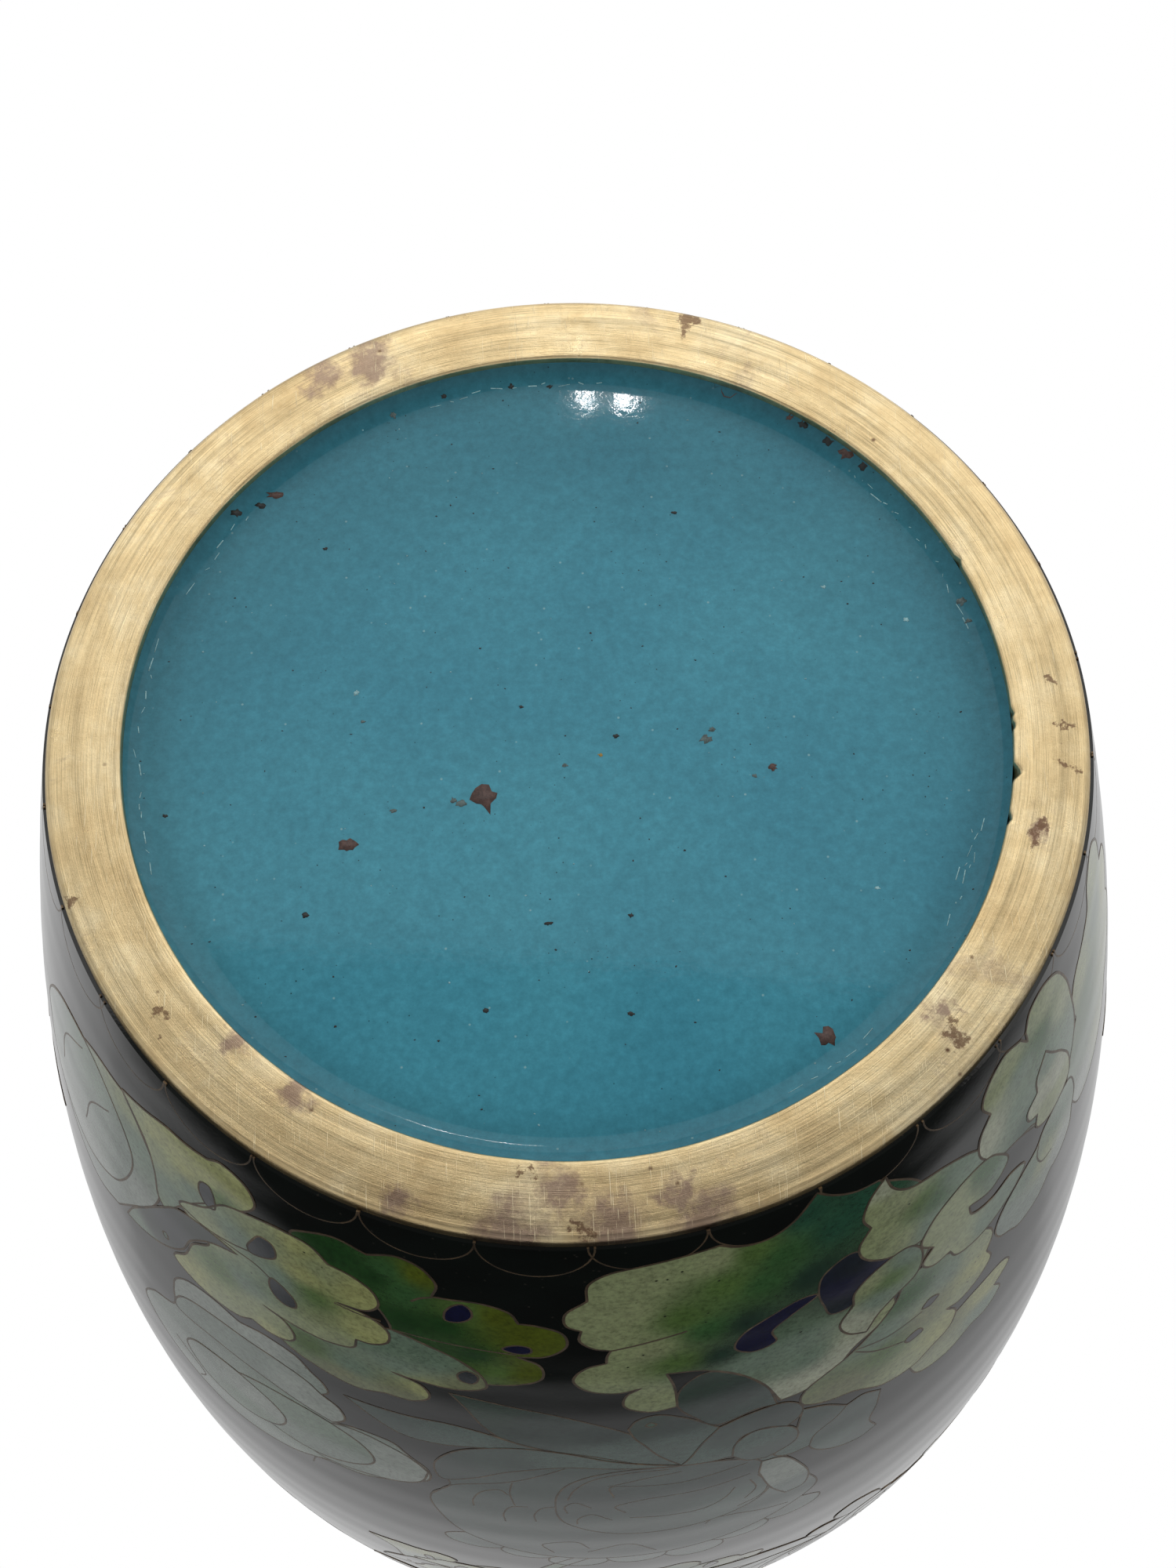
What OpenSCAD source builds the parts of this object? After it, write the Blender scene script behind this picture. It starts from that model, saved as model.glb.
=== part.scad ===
// Cloisonne vase: a copper vessel spun in three sections and brazed together, on a turned
// brass foot ring, with a brass lip. Enamel fills cells of fine brass wire on the outside, and
// lines the inside and the base. Upright on Z, with the middle of the foot on the origin.

/* [Body] */
// Height from the foot to the top of the brass lip
total_h = 255; // [235:1:285]
// Outer radius at the foot
foot_r = 55; // [52:0.5:58]
// How fast the radius grows just above the foot
foot_slope = 0.27; // [0.2:0.01:0.34]
// Largest outer radius
belly_r = 75.4; // [70:0.1:80]
// Height of the largest radius, where the lower and upper sections meet
belly_z = 138; // [125:1:145]
// Outer radius on the shoulder
shoulder_r = 61; // [56:0.5:66]
// Height of that shoulder radius
shoulder_z = 194; // [188:1:200]
// Smallest outer radius, at the waist of the neck
neck_r = 30; // [27:0.5:34]
// Height of the waist of the neck
neck_z = 234; // [230:1:238]
// Outer radius of the enamel under the lip
mouth_r = 37.5; // [35:0.5:41]

/* [Walls] */
// Thickness of the copper
copper_t = 1.2; // [0.8:0.1:1.6]
// Depth of the enamel on the outside
enamel_t = 1.2; // [0.8:0.1:1.5]
// Thickness of the enamel inside
lining_t = 0.5; // [0.4:0.1:0.8]
// Height of a brazed seam between two sections
braze_h = 0.6; // [0.4:0.1:1]

/* [Foot and base] */
// Width of the flat brass face that the vase stands on
ring_w = 8.1; // [6:0.1:10]
// Height of the brass edge seen below the enamel
ring_lip_h = 1.4; // [1:0.1:2]
// Full height of the foot ring, inside the copper
ring_h = 6; // [5.5:0.5:8]
// Rounding of the outer edge of the foot ring
ring_edge_r = 0.9; // [0.5:0.1:1]
// Height of the base enamel's edge above the table
base_recess = 2.4; // [2.2:0.1:2.8]
// How far the base enamel bulges towards the table in the middle
base_dome = 1; // [0.2:0.1:1.6]
// Thickness of the copper base plate
base_plate_t = 1.2; // [0.8:0.1:1.4]

/* [Lip] */
// Height of the brass lip
lip_h = 3.2; // [3:0.1:5]
// Width of the brass lip
lip_w = 4; // [3.6:0.1:5]

/* [Decoration] */
// Width of the brass cell wire
wire_w = 0.4; // [0.3:0.05:0.6]
// Fish scales around the foot
scale_count = 30; // [24:1:36]
// Fish scales around the top of the neck
neck_scale_count = 20; // [16:1:24]
// Times the spray of flowers and leaves repeats around the belly
spray_count = 3; // [2:1:3]
// Petals on a chrysanthemum
petal_count = 10; // [8:1:12]
// Rounded petals around a peony
puff_count = 6; // [5:1:8]

/* [Hidden] */
$fn = 96;

// Sections of the body: the lip sits on rim_z, and the neck starts at seam_z.
rim_z = total_h - lip_h;
seam_z = 220;
ring_inner_r = foot_r - ring_w;
collar_r = foot_r - enamel_t - copper_t - 0.6;
plate_z = base_recess + 1.2;
floor_z = plate_z + base_plate_t;
wall_t = enamel_t + copper_t;

// Stations of the outside: height, radius, and slope of the radius there.
stations = [
  [0, foot_r, foot_slope],
  [belly_z, belly_r, 0],
  [shoulder_z, shoulder_r, -0.78],
  [neck_z - 10, neck_r + 2.6, -0.55],
  [neck_z, neck_r, 0],
  [rim_z, mouth_r, 0.8]
];

// Colours
brass = [0.78, 0.66, 0.4];
copper = [0.72, 0.45, 0.3];
silver = [0.72, 0.7, 0.66];
turquoise = [0.26, 0.54, 0.62];
black = [0.03, 0.045, 0.035];
leaf_green = [0.62, 0.72, 0.45];
celadon = [0.55, 0.64, 0.6];
pearl = [0.72, 0.78, 0.75];
navy = [0.12, 0.13, 0.3];

// Spray layout: [angle in degrees, height] of each flower and leaf within one repeat.
chrysanthemum_at = [-3, 76];
chrysanthemum_r = 20;
peony_at = [40, 62];
peony_r = 10;
puff_r = 6.5;
leaf_bases = [[-22, 30], [34, 31], [-44, 36]];
leaf_turns = [-15, 190, 245];
finger_w = 9;
finger_l = 14;
finger_fan = 38;
spot_r = 1.4;

function cubic(t, h, a, b) =
  a[1] * (2 * t ^ 3 - 3 * t ^ 2 + 1) + a[2] * h * (t ^ 3 - 2 * t ^ 2 + t)
  + b[1] * (3 * t ^ 2 - 2 * t ^ 3) + b[2] * h * (t ^ 3 - t ^ 2);

function span(z, i = 0) =
  i >= len(stations) - 2 || z <= stations[i + 1][0] ? i : span(z, i + 1);

// Outer radius of the enamel at a height.
function outside(z) =
  let (i = span(z), a = stations[i], b = stations[i + 1], h = b[0] - a[0])
  cubic((z - a[0]) / h, h, a, b);

// A skin of the body between two heights and two depths below the outside.
module skin(z0, z1, outer, inner, steps) {
  heights = [for (i = [0:steps]) z0 + (z1 - z0) * i / steps];
  rotate_extrude()
    polygon(concat(
      [for (z = heights) [outside(z) - outer, z]],
      [for (i = [steps:-1:0]) [outside(heights[i]) - inner, heights[i]]]
    ));
}

// A flat shape pushed outwards at an angle and a height, from a distance off the axis.
module outward(angle, z, start = foot_r - 3) {
  rotate([0, 0, angle])
    translate([0, 0, z])
      rotate([90, 0, 0])
        translate([0, 0, start])
          linear_extrude(30)
            children();
}

// Keeps the part of a pattern that lies in the enamel of the lower section.
module in_lower_enamel() {
  intersection() {
    skin(foot_band_top, belly_z, 0, enamel_t, 10);
    children();
  }
}

module foot_ring() {
  color(brass)
    rotate_extrude()
      union() {
        translate([ring_inner_r, 0])
          square([ring_w - ring_edge_r, ring_lip_h]);
        translate([foot_r - ring_edge_r, ring_edge_r])
          circle(ring_edge_r);
        translate([foot_r - 2 * ring_edge_r, ring_edge_r])
          square([2 * ring_edge_r, ring_lip_h - ring_edge_r]);
        translate([ring_inner_r, ring_lip_h])
          square([collar_r - ring_inner_r, ring_h - ring_lip_h]);
      }
}

module foot_braze() {
  color(silver)
    rotate_extrude()
      polygon([
        [collar_r, ring_lip_h],
        [outside(ring_lip_h) - wall_t, ring_lip_h],
        [outside(ring_h) - wall_t, ring_h],
        [collar_r, ring_h]
      ]);
}

module base_plate() {
  color(copper)
    translate([0, 0, plate_z])
      cylinder(r = ring_inner_r, h = base_plate_t);
}

module base_braze() {
  color(silver)
    rotate_extrude()
      polygon([
        [ring_inner_r, floor_z],
        [ring_inner_r, floor_z + 1],
        [ring_inner_r - 1.2, floor_z]
      ]);
}

// The base enamel is a shallow lens: flat on the plate, bulging towards the table.
module base_enamel() {
  steps = 12;
  color(turquoise)
    rotate_extrude()
      polygon(concat(
        [for (i = [0:steps])
          let (u = i / steps)
          [ring_inner_r * u, base_recess - base_dome * (1 - u * u)]],
        [[ring_inner_r, plate_z], [0, plate_z]]
      ));
}

module floor_lining() {
  color(turquoise)
    translate([0, 0, floor_z])
      cylinder(r = ring_inner_r - 1.2, h = lining_t);
}

module lower_shell() {
  color(copper)
    skin(ring_lip_h, belly_z - braze_h / 2, enamel_t, wall_t, 14);
}

module belly_braze() {
  color(silver)
    skin(belly_z - braze_h / 2, belly_z + braze_h / 2, enamel_t, wall_t, 1);
}

module upper_shell() {
  color(copper)
    skin(belly_z + braze_h / 2, seam_z - braze_h / 2, enamel_t, wall_t, 14);
}

module neck_braze() {
  color(silver)
    skin(seam_z - braze_h / 2, seam_z + braze_h / 2, enamel_t, wall_t, 1);
}

module neck_tube() {
  color(copper)
    skin(seam_z + braze_h / 2, rim_z - braze_h, enamel_t, wall_t, 8);
}

module lip_braze() {
  color(silver)
    skin(rim_z - braze_h, rim_z, enamel_t, wall_t, 1);
}

module mouth_rim() {
  middle = outside(rim_z) - (wall_t + lining_t) / 2;
  color(brass)
    rotate_extrude()
      translate([middle, rim_z])
        union() {
          translate([-lip_w / 2, 0])
            square([lip_w, lip_h - lip_w / 2]);
          intersection() {
            translate([0, lip_h - lip_w / 2])
              circle(lip_w / 2);
            translate([-lip_w, 0])
              square(2 * lip_w);
          }
        }
}

module lower_lining() {
  color(turquoise)
    skin(ring_h, belly_z, wall_t, wall_t + lining_t, 14);
}

module upper_lining() {
  color(turquoise)
    skin(belly_z, seam_z, wall_t, wall_t + lining_t, 14);
}

module neck_lining() {
  color(turquoise)
    skin(seam_z, rim_z, wall_t, wall_t + lining_t, 8);
}

// One fish scale: a half disc, flat side down.
module half_disc(r) {
  intersection() {
    circle(r);
    translate([-2 * r, 0])
      square([4 * r, 2 * r]);
  }
}

module scale_arc(r) {
  difference() {
    half_disc(r + wire_w);
    half_disc(r);
  }
}

// The ground between two scales that stand half a spacing to either side.
module spandrel(r, half_step) {
  difference() {
    translate([-half_step, 0])
      square([2 * half_step, r]);
    for (side = [-1, 1])
      translate([side * half_step, 0])
        circle(r);
  }
}

// A scale leaves a sliver of ground between itself and the next one.
scale_gap = 0.3;
foot_scale_r = PI * foot_r / scale_count - wire_w - scale_gap;
foot_band_top = ring_lip_h + foot_scale_r + wire_w;
foot_scale_start = foot_r - enamel_t - 0.2;
neck_scale_r = PI * neck_r * 1.12 / neck_scale_count - wire_w - scale_gap;
neck_band_bottom = rim_z - neck_scale_r - wire_w;
neck_scale_start = outside(neck_band_bottom) - enamel_t - 0.2;

// Each cell around the foot is cut from the enamel there on its own.
module around_foot(first) {
  for (i = [0:scale_count - 1])
    intersection() {
      skin(ring_lip_h, foot_band_top, 0, enamel_t, 1);
      outward((i + first) * 360 / scale_count, ring_lip_h, foot_scale_start)
        children();
    }
}

module around_neck(first) {
  for (i = [0:neck_scale_count - 1])
    intersection() {
      skin(neck_band_bottom, rim_z, 0, enamel_t, 1);
      outward((i + first) * 360 / neck_scale_count, rim_z, neck_scale_start)
        rotate(180)
          children();
    }
}

module foot_scale_wires() {
  color(brass)
    around_foot(0.5)
      scale_arc(foot_scale_r);
}

module foot_scale_enamel() {
  color(black)
    around_foot(0.5)
      half_disc(foot_scale_r);
}

module neck_scale_wires() {
  color(brass)
    around_neck(0.5)
      scale_arc(neck_scale_r);
}

module neck_scale_enamel() {
  color(black)
    around_neck(0.5)
      half_disc(neck_scale_r);
}

module neck_border_wire() {
  color(brass)
    skin(neck_band_bottom - wire_w, neck_band_bottom, 0, enamel_t, 1);
}

module foot_ground() {
  color(black)
    around_foot(0)
      spandrel(foot_scale_r + wire_w + 0.08, foot_scale_r + wire_w + scale_gap);
}

module lip_ground() {
  color(black)
    around_neck(0)
      spandrel(neck_scale_r + wire_w + 0.15, neck_scale_r + wire_w + scale_gap + 0.1);
}

// A leaf of rounded fingers that fan out from its base.
module leaf_outline(grow = 0) {
  for (i = [-1:1])
    rotate(i * finger_fan) {
      translate([0, -finger_w / 2 - grow])
        square([finger_l, finger_w + 2 * grow]);
      translate([finger_l, 0])
        circle(finger_w / 2 + grow);
    }
  circle(finger_w / 2 + grow);
}

module each_leaf() {
  for (k = [0:spray_count - 1])
    for (i = [0:len(leaf_bases) - 1])
      outward(k * 360 / spray_count + leaf_bases[i][0], leaf_bases[i][1])
        rotate(leaf_turns[i])
          children();
}

module leaf_spot_shapes() {
  for (i = [-1:1])
    rotate(i * finger_fan)
      translate([finger_l, 0])
        circle(spot_r);
}

module leaf_enamel() {
  color(leaf_green)
    in_lower_enamel()
      each_leaf()
        difference() {
          leaf_outline();
          leaf_spot_shapes();
        }
}

module leaf_wires() {
  color(brass)
    in_lower_enamel()
      each_leaf()
        difference() {
          leaf_outline(wire_w);
          leaf_outline();
        }
}

module leaf_spots() {
  color(navy)
    in_lower_enamel()
      each_leaf()
        leaf_spot_shapes();
}

// A pointed petal between two arcs, lying along X.
module petal(l, w) {
  arc_r = (l * l / 4 + w * w / 4) / w;
  translate([l / 2, 0])
    intersection() {
      translate([0, arc_r - w / 2])
        circle(arc_r);
      translate([0, w / 2 - arc_r])
        circle(arc_r);
    }
}

module chrysanthemum_outline(grow = 0) {
  for (i = [0:petal_count - 1])
    rotate(i * 360 / petal_count)
      petal(chrysanthemum_r + 2 * grow, chrysanthemum_r * 0.42 + 2 * grow);
  circle(chrysanthemum_r * 0.3 + grow);
}

module each_chrysanthemum() {
  for (k = [0:spray_count - 1])
    outward(k * 360 / spray_count + chrysanthemum_at[0], chrysanthemum_at[1])
      children();
}

module chrysanthemum_enamel() {
  color(celadon)
    in_lower_enamel()
      each_chrysanthemum()
        chrysanthemum_outline();
}

module chrysanthemum_wires() {
  color(brass)
    in_lower_enamel()
      each_chrysanthemum()
        difference() {
          chrysanthemum_outline(wire_w);
          chrysanthemum_outline();
        }
}

module peony_outline(grow = 0) {
  for (i = [0:puff_count - 1])
    rotate(i * 360 / puff_count)
      translate([peony_r, 0])
        circle(puff_r + grow);
  circle(peony_r);
}

module each_peony() {
  for (k = [0:spray_count - 1])
    outward(k * 360 / spray_count + peony_at[0], peony_at[1])
      children();
}

module peony_enamel() {
  color(pearl)
    in_lower_enamel()
      each_peony()
        peony_outline();
}

module peony_wires() {
  color(brass)
    in_lower_enamel()
      each_peony()
        difference() {
          peony_outline(wire_w);
          peony_outline();
        }
}

// The black enamel fills everything that the wires and the coloured cells leave.
module lower_ground() {
  color(black)
    difference() {
      skin(foot_band_top, belly_z, 0, enamel_t, 10);
      each_leaf()
        leaf_outline(wire_w);
      each_chrysanthemum()
        chrysanthemum_outline(wire_w);
      each_peony()
        peony_outline(wire_w);
    }
}

module upper_ground() {
  color(black)
    skin(belly_z, seam_z, 0, enamel_t, 14);
}

module neck_ground() {
  color(black)
    skin(seam_z, neck_band_bottom - wire_w, 0, enamel_t, 8);
}

foot_ring();
foot_braze();
base_plate();
base_braze();
base_enamel();
floor_lining();
lower_shell();
belly_braze();
upper_shell();
neck_braze();
neck_tube();
lip_braze();
mouth_rim();
lower_lining();
upper_lining();
neck_lining();
foot_ground();
lower_ground();
upper_ground();
neck_ground();
lip_ground();
foot_scale_enamel();
foot_scale_wires();
neck_scale_enamel();
neck_scale_wires();
neck_border_wire();
leaf_enamel();
leaf_wires();
leaf_spots();
chrysanthemum_enamel();
chrysanthemum_wires();
peony_enamel();
peony_wires();
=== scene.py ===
"""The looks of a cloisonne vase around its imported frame, seen from below.

The vase is upside down in the photograph, so the camera is under it, and rolled over.

Lengths are in millimetres here and are turned into metres where a mesh is made. A place on the body is an
angle in degrees, from the front (-Y) towards +X, and a height above the foot.
"""

import math

import bmesh
import bpy
import numpy as np
from mathutils import Matrix, Vector
from mathutils.geometry import delaunay_2d_cdt


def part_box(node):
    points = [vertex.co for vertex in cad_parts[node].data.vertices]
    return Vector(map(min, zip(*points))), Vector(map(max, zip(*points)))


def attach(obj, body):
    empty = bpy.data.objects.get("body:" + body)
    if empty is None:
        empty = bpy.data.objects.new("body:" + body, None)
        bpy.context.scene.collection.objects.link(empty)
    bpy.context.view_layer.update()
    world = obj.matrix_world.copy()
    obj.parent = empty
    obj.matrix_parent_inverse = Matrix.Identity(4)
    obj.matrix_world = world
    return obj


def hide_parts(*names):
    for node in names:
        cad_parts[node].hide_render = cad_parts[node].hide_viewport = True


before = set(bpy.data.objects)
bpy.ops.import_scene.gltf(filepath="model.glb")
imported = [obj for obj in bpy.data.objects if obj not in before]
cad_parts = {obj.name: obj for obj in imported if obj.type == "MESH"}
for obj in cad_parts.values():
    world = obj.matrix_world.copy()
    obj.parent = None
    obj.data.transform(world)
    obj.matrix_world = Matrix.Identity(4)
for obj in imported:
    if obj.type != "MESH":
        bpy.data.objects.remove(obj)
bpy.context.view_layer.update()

MM = 0.001
RNG = np.random.default_rng(12)
COLLECTION = bpy.context.scene.collection


# ---------------------------------------------------------------- the frame's own sizes

def half_width(node):
    low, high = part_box(node)
    return (high[0] - low[0]) / 2 / MM


def height_range(node):
    low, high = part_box(node)
    return low[2] / MM, high[2] / MM


FOOT_R = half_width("foot_ring")
BASE_R = half_width("base_plate")
ENAMEL_T = half_width("lower_ground") - half_width("lower_shell")
GROUND_LOW = height_range("lower_shell")[0]
BELLY_Z = height_range("lower_ground")[1]
NECK_SEAM_Z = height_range("neck_ground")[0]
LIP_LOW, LIP_HIGH = height_range("mouth_rim")
BASE_PLATE_Z = height_range("base_plate")[0]
BASE_LOW_Z = height_range("base_enamel")[0]


def shell_rings():
    """Height and outside radius at each ring of the copper shells, moved out by the enamel's depth."""
    levels = {}
    for node in ("lower_shell", "upper_shell", "neck_tube"):
        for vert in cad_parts[node].data.vertices:
            z = round(vert.co.z / MM, 1)
            levels[z] = max(levels.get(z, 0.0), math.hypot(vert.co.x, vert.co.y) / MM)
    heights = sorted(levels)
    # Two rings closer than 2 mm are the two sides of a step: the upper one is kept.
    kept = [z for z, after in zip(heights, heights[1:] + [1e9]) if after - z > 2]
    return kept, [levels[z] + ENAMEL_T for z in kept]


def profile_table():
    """A fine table of the smooth outside: height, radius, slope and length along the profile."""
    zs, rs = shell_rings()
    zs = np.array([0.0] + zs[1:])
    rs = np.array([FOOT_R] + rs[1:])
    slopes = np.gradient(rs, zs)
    fine = np.arange(0.0, LIP_LOW + 0.01, 0.25)
    i = np.clip(np.searchsorted(zs, fine) - 1, 0, len(zs) - 2)
    h = zs[i + 1] - zs[i]
    t = (fine - zs[i]) / h
    r = (rs[i] * (2 * t ** 3 - 3 * t ** 2 + 1) + slopes[i] * h * (t ** 3 - 2 * t ** 2 + t)
         + rs[i + 1] * (3 * t ** 2 - 2 * t ** 3) + slopes[i + 1] * h * (t ** 3 - t ** 2))
    along = np.concatenate([[0.0], np.cumsum(np.hypot(np.diff(fine), np.diff(r)))])
    return fine, r, np.gradient(r, fine), along


TABLE_Z, TABLE_R, TABLE_SLOPE, TABLE_S = profile_table()


def radius(z):
    return np.interp(z, TABLE_Z, TABLE_R)


def on_body(angle, z, lift=0.0):
    """Points on the body, in metres, lifted off it along its normal by a length in mm."""
    angle = np.radians(np.asarray(angle, float))
    z = np.asarray(z, float)
    slope = np.interp(z, TABLE_Z, TABLE_SLOPE)
    norm = np.hypot(1.0, slope)
    r = radius(z) + lift / norm
    return np.stack([r * np.sin(angle), -r * np.cos(angle), z - lift * slope / norm], -1) * MM


def body_normal(angle, z):
    angle = np.radians(np.asarray(angle, float))
    slope = np.interp(z, TABLE_Z, TABLE_SLOPE)
    n = np.stack([np.sin(angle), -np.cos(angle), -slope * np.ones_like(angle)], -1)
    return n / np.linalg.norm(n, axis=-1, keepdims=True)


# ---------------------------------------------------------------- materials

def linear(r, g, b):
    """An sRGB colour, 0 to 255, as linear RGB."""
    out = []
    for c in (r, g, b):
        c /= 255
        out.append(c / 12.92 if c <= 0.04045 else ((c + 0.055) / 1.055) ** 2.4)
    return tuple(out)


class Graph:
    """Short ways to add nodes to a node tree."""

    def __init__(self, tree, coords):
        self.nodes, self.links = tree.nodes, tree.links
        self.coords = self.nodes.new("ShaderNodeTexCoord").outputs[coords]

    def put(self, value, socket):
        """Sets a socket to a number, a vector or a colour, or links another socket to it."""
        if isinstance(value, (int, float)):
            socket.default_value = value
        elif isinstance(value, tuple):
            socket.default_value = (*value, 1) if socket.type == "RGBA" else value
        else:
            self.links.new(value, socket)

    def node(self, kind, inputs, output=0, **settings):
        """Adds a node with some inputs, and gives one of its outputs."""
        n = self.nodes.new("ShaderNode" + kind)
        for name, value in settings.items():
            setattr(n, name, value)
        for key, value in inputs.items():
            self.put(value, n.inputs[key])
        return n.outputs[output]

    def split(self):
        n = self.nodes.new("ShaderNodeSeparateXYZ")
        self.put(self.coords, n.inputs[0])
        return n.outputs

    def noise(self, scale, detail, rough=0.55, vector=None, distortion=0.0, output="Fac"):
        return self.node("TexNoise", {"Vector": vector or self.coords, "Scale": scale, "Detail": detail,
                                      "Roughness": rough, "Distortion": distortion}, output)

    def cells(self, scale):
        return self.node("TexVoronoi", {"Vector": self.coords, "Scale": scale}, "Distance")

    def ramp(self, value, stops):
        """A colour ramp: stops are (position, colour or grey)."""
        n = self.nodes.new("ShaderNodeValToRGB")
        elements = n.color_ramp.elements
        while len(elements) < len(stops):
            elements.new(0.5)
        for e, (pos, col) in zip(elements, stops):
            e.position = pos
            e.color = (*col, 1) if isinstance(col, tuple) else (col, col, col, 1)
        self.put(value, n.inputs["Fac"])
        return n.outputs["Color"]

    def math(self, op, *values):
        return self.node("Math", dict(enumerate(values)), operation=op)

    def vector_math(self, op, *values, output=0):
        return self.node("VectorMath", dict(enumerate(values)), output, operation=op)

    def mix(self, fac, a, b, blend="MIX"):
        return self.node("Mix", {0: fac, 6: a, 7: b}, 2, data_type="RGBA", blend_type=blend)

    def times(self, a, b):
        return self.mix(1.0, a, b, "MULTIPLY")


class Shader(Graph):
    """A node material with a Principled shader."""

    def __init__(self, name, roughness, metallic=0.0):
        self.mat = bpy.data.materials.new(name)
        self.mat.use_nodes = True
        super().__init__(self.mat.node_tree, "Object")
        self.bsdf = self.nodes["Principled BSDF"]
        self.bsdf.inputs["Roughness"].default_value = roughness
        self.bsdf.inputs["Metallic"].default_value = metallic
        self.ragged = None

    def tint(self):
        """The colour laid down for each point of the mesh."""
        return self.node("VertexColor", {}, "Color", layer_name="tint")

    def bump(self, height, strength, distance, after=None):
        inputs = {"Height": height, "Strength": strength, "Distance": distance}
        if after is not None:
            inputs["Normal"] = after
        return self.node("Bump", inputs, "Normal")

    def polar_radius(self):
        x, y, _ = self.split()
        return self.math("SQRT", self.math("ADD", self.math("MULTIPLY", x, x), self.math("MULTIPLY", y, y)))

    def polar(self, across, around, up=0.0):
        """Coordinates stretched around Z: radius times across, angle times around, height times up."""
        x, y, z = self.split()
        r = self.polar_radius()
        turned = [self.math("MULTIPLY", self.math("DIVIDE", v, r), around) for v in (x, y)]
        last = self.math("ADD", turned[1], self.math("MULTIPLY", z, up))
        return self.node("CombineXYZ", {0: self.math("MULTIPLY", r, across), 1: turned[0], 2: last})

    def warped(self):
        """Coordinates moved about by noise, which gives marks a ragged outline."""
        if self.ragged is None:
            reach = 0.006
            noise = self.noise(210, 6, 0.7, output="Color")
            shift = self.vector_math("MULTIPLY_ADD", noise, (2 * reach, 2 * reach, 0), (-reach, -reach, 0))
            self.ragged = self.vector_math("ADD", self.coords, shift)
        return self.ragged

    def spot_mask(self, x, y, size):
        """One at a place given in mm, falling to zero at a distance of size from it."""
        gap = self.vector_math("DISTANCE", self.warped(), (x * MM, y * MM, 0), output="Value")
        return self.math("SUBTRACT", 1.0, self.math("MULTIPLY", gap, 1 / (size * MM)))

    def finish(self, color, roughness=None, normal=None):
        for value, name in ((color, "Base Color"), (roughness, "Roughness"), (normal, "Normal")):
            if value is not None:
                self.put(value, self.bsdf.inputs[name])
        return self.mat


def black_enamel():
    s = Shader("black_enamel", roughness=0.07)
    cloud = s.ramp(s.noise(90, 5), [(0.35, (0.0016, 0.0028, 0.0020)), (0.75, (0.0042, 0.0078, 0.0058))])
    pits = s.ramp(s.cells(700), [(0.05, 0.0), (0.12, 1.0)])
    color = s.mix(pits, (0.03, 0.028, 0.022), cloud)
    rough = s.ramp(s.noise(140, 3), [(0.3, 0.04), (0.8, 0.10)])
    wave = s.bump(s.noise(120, 2), 0.05, 0.0004)
    grain = s.bump(s.noise(2600, 2), 0.04, 0.00005, wave)
    return s.finish(color, rough, grain)


def cell_enamel(name):
    """Shaded cell enamel: a colour for each point, with the grains and pinholes of ground glass."""
    s = Shader(name, roughness=0.12)
    grain = s.ramp(s.noise(1500, 3, 0.7), [(0.28, 0.62), (0.5, 1.0), (0.78, 1.3)])
    cloud = s.ramp(s.noise(260, 4), [(0.3, 0.86), (0.7, 1.12)])
    color = s.times(s.times(s.tint(), grain), cloud)
    pits = s.ramp(s.cells(620), [(0.06, 0.0), (0.13, 1.0)])
    few = s.ramp(s.noise(150, 2), [(0.5, 1.0), (0.62, 0.0)])
    dark = s.mix(1.0, pits, few, "ADD")
    color = s.mix(dark, (0.02, 0.022, 0.014), color)
    rough = s.ramp(s.noise(200, 3), [(0.3, 0.06), (0.8, 0.13)])
    wave = s.bump(s.noise(150, 2), 0.05, 0.0004)
    fine = s.bump(s.noise(2400, 2), 0.07, 0.00006, wave)
    return s.finish(color, rough, fine)


def turquoise_enamel(name, deep, light, edge_r=0.0):
    s = Shader(name, roughness=0.14)
    s.bsdf.inputs["Specular IOR Level"].default_value = 0.2
    broad = s.ramp(s.noise(32, 3, 0.5), [(0.3, linear(*deep)), (0.7, linear(*light))])
    mottle = s.ramp(s.noise(900, 5, 0.75), [(0.3, 0.84), (0.5, 1.0), (0.72, 1.2)])
    color = s.times(broad, mottle)
    specks = s.ramp(s.cells(900), [(0.045, 0.0), (0.1, 1.0)])
    where = s.ramp(s.noise(130, 3), [(0.45, 1.0), (0.6, 0.0)])
    color = s.mix(s.mix(1.0, specks, where, "ADD"), (0.02, 0.05, 0.055), color)
    pale_specks = s.ramp(s.cells(420), [(0.03, 0.0), (0.07, 1.0)])
    color = s.mix(pale_specks, linear(132, 180, 188), color)
    if edge_r:
        # Painted shade: the colour is darkened where the base runs up to the ring, standing in for the shade
        # of the ring's wall there.
        rim = s.math("DIVIDE", s.polar_radius(), edge_r * MM)
        color = s.times(color, s.ramp(rim, [(0.88, 1.0), (0.94, 0.86), (0.985, 0.72)]))
        # The colour is also made a little darker towards the sides and the back.
        pale = s.ramp(s.spot_mask(0, -14, 70), [(0.1, 0.75), (0.3, 0.79), (0.5, 0.99), (0.7, 1.03)])
        color = s.times(color, pale)
    rough = s.ramp(s.noise(60, 4), [(0.3, 0.03), (0.75, 0.09)])
    wave = s.bump(s.noise(45, 3), 0.05, 0.0008)
    fine = s.bump(s.noise(1300, 3), 0.08, 0.00006, wave)
    return s.finish(color, rough, fine)


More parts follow.
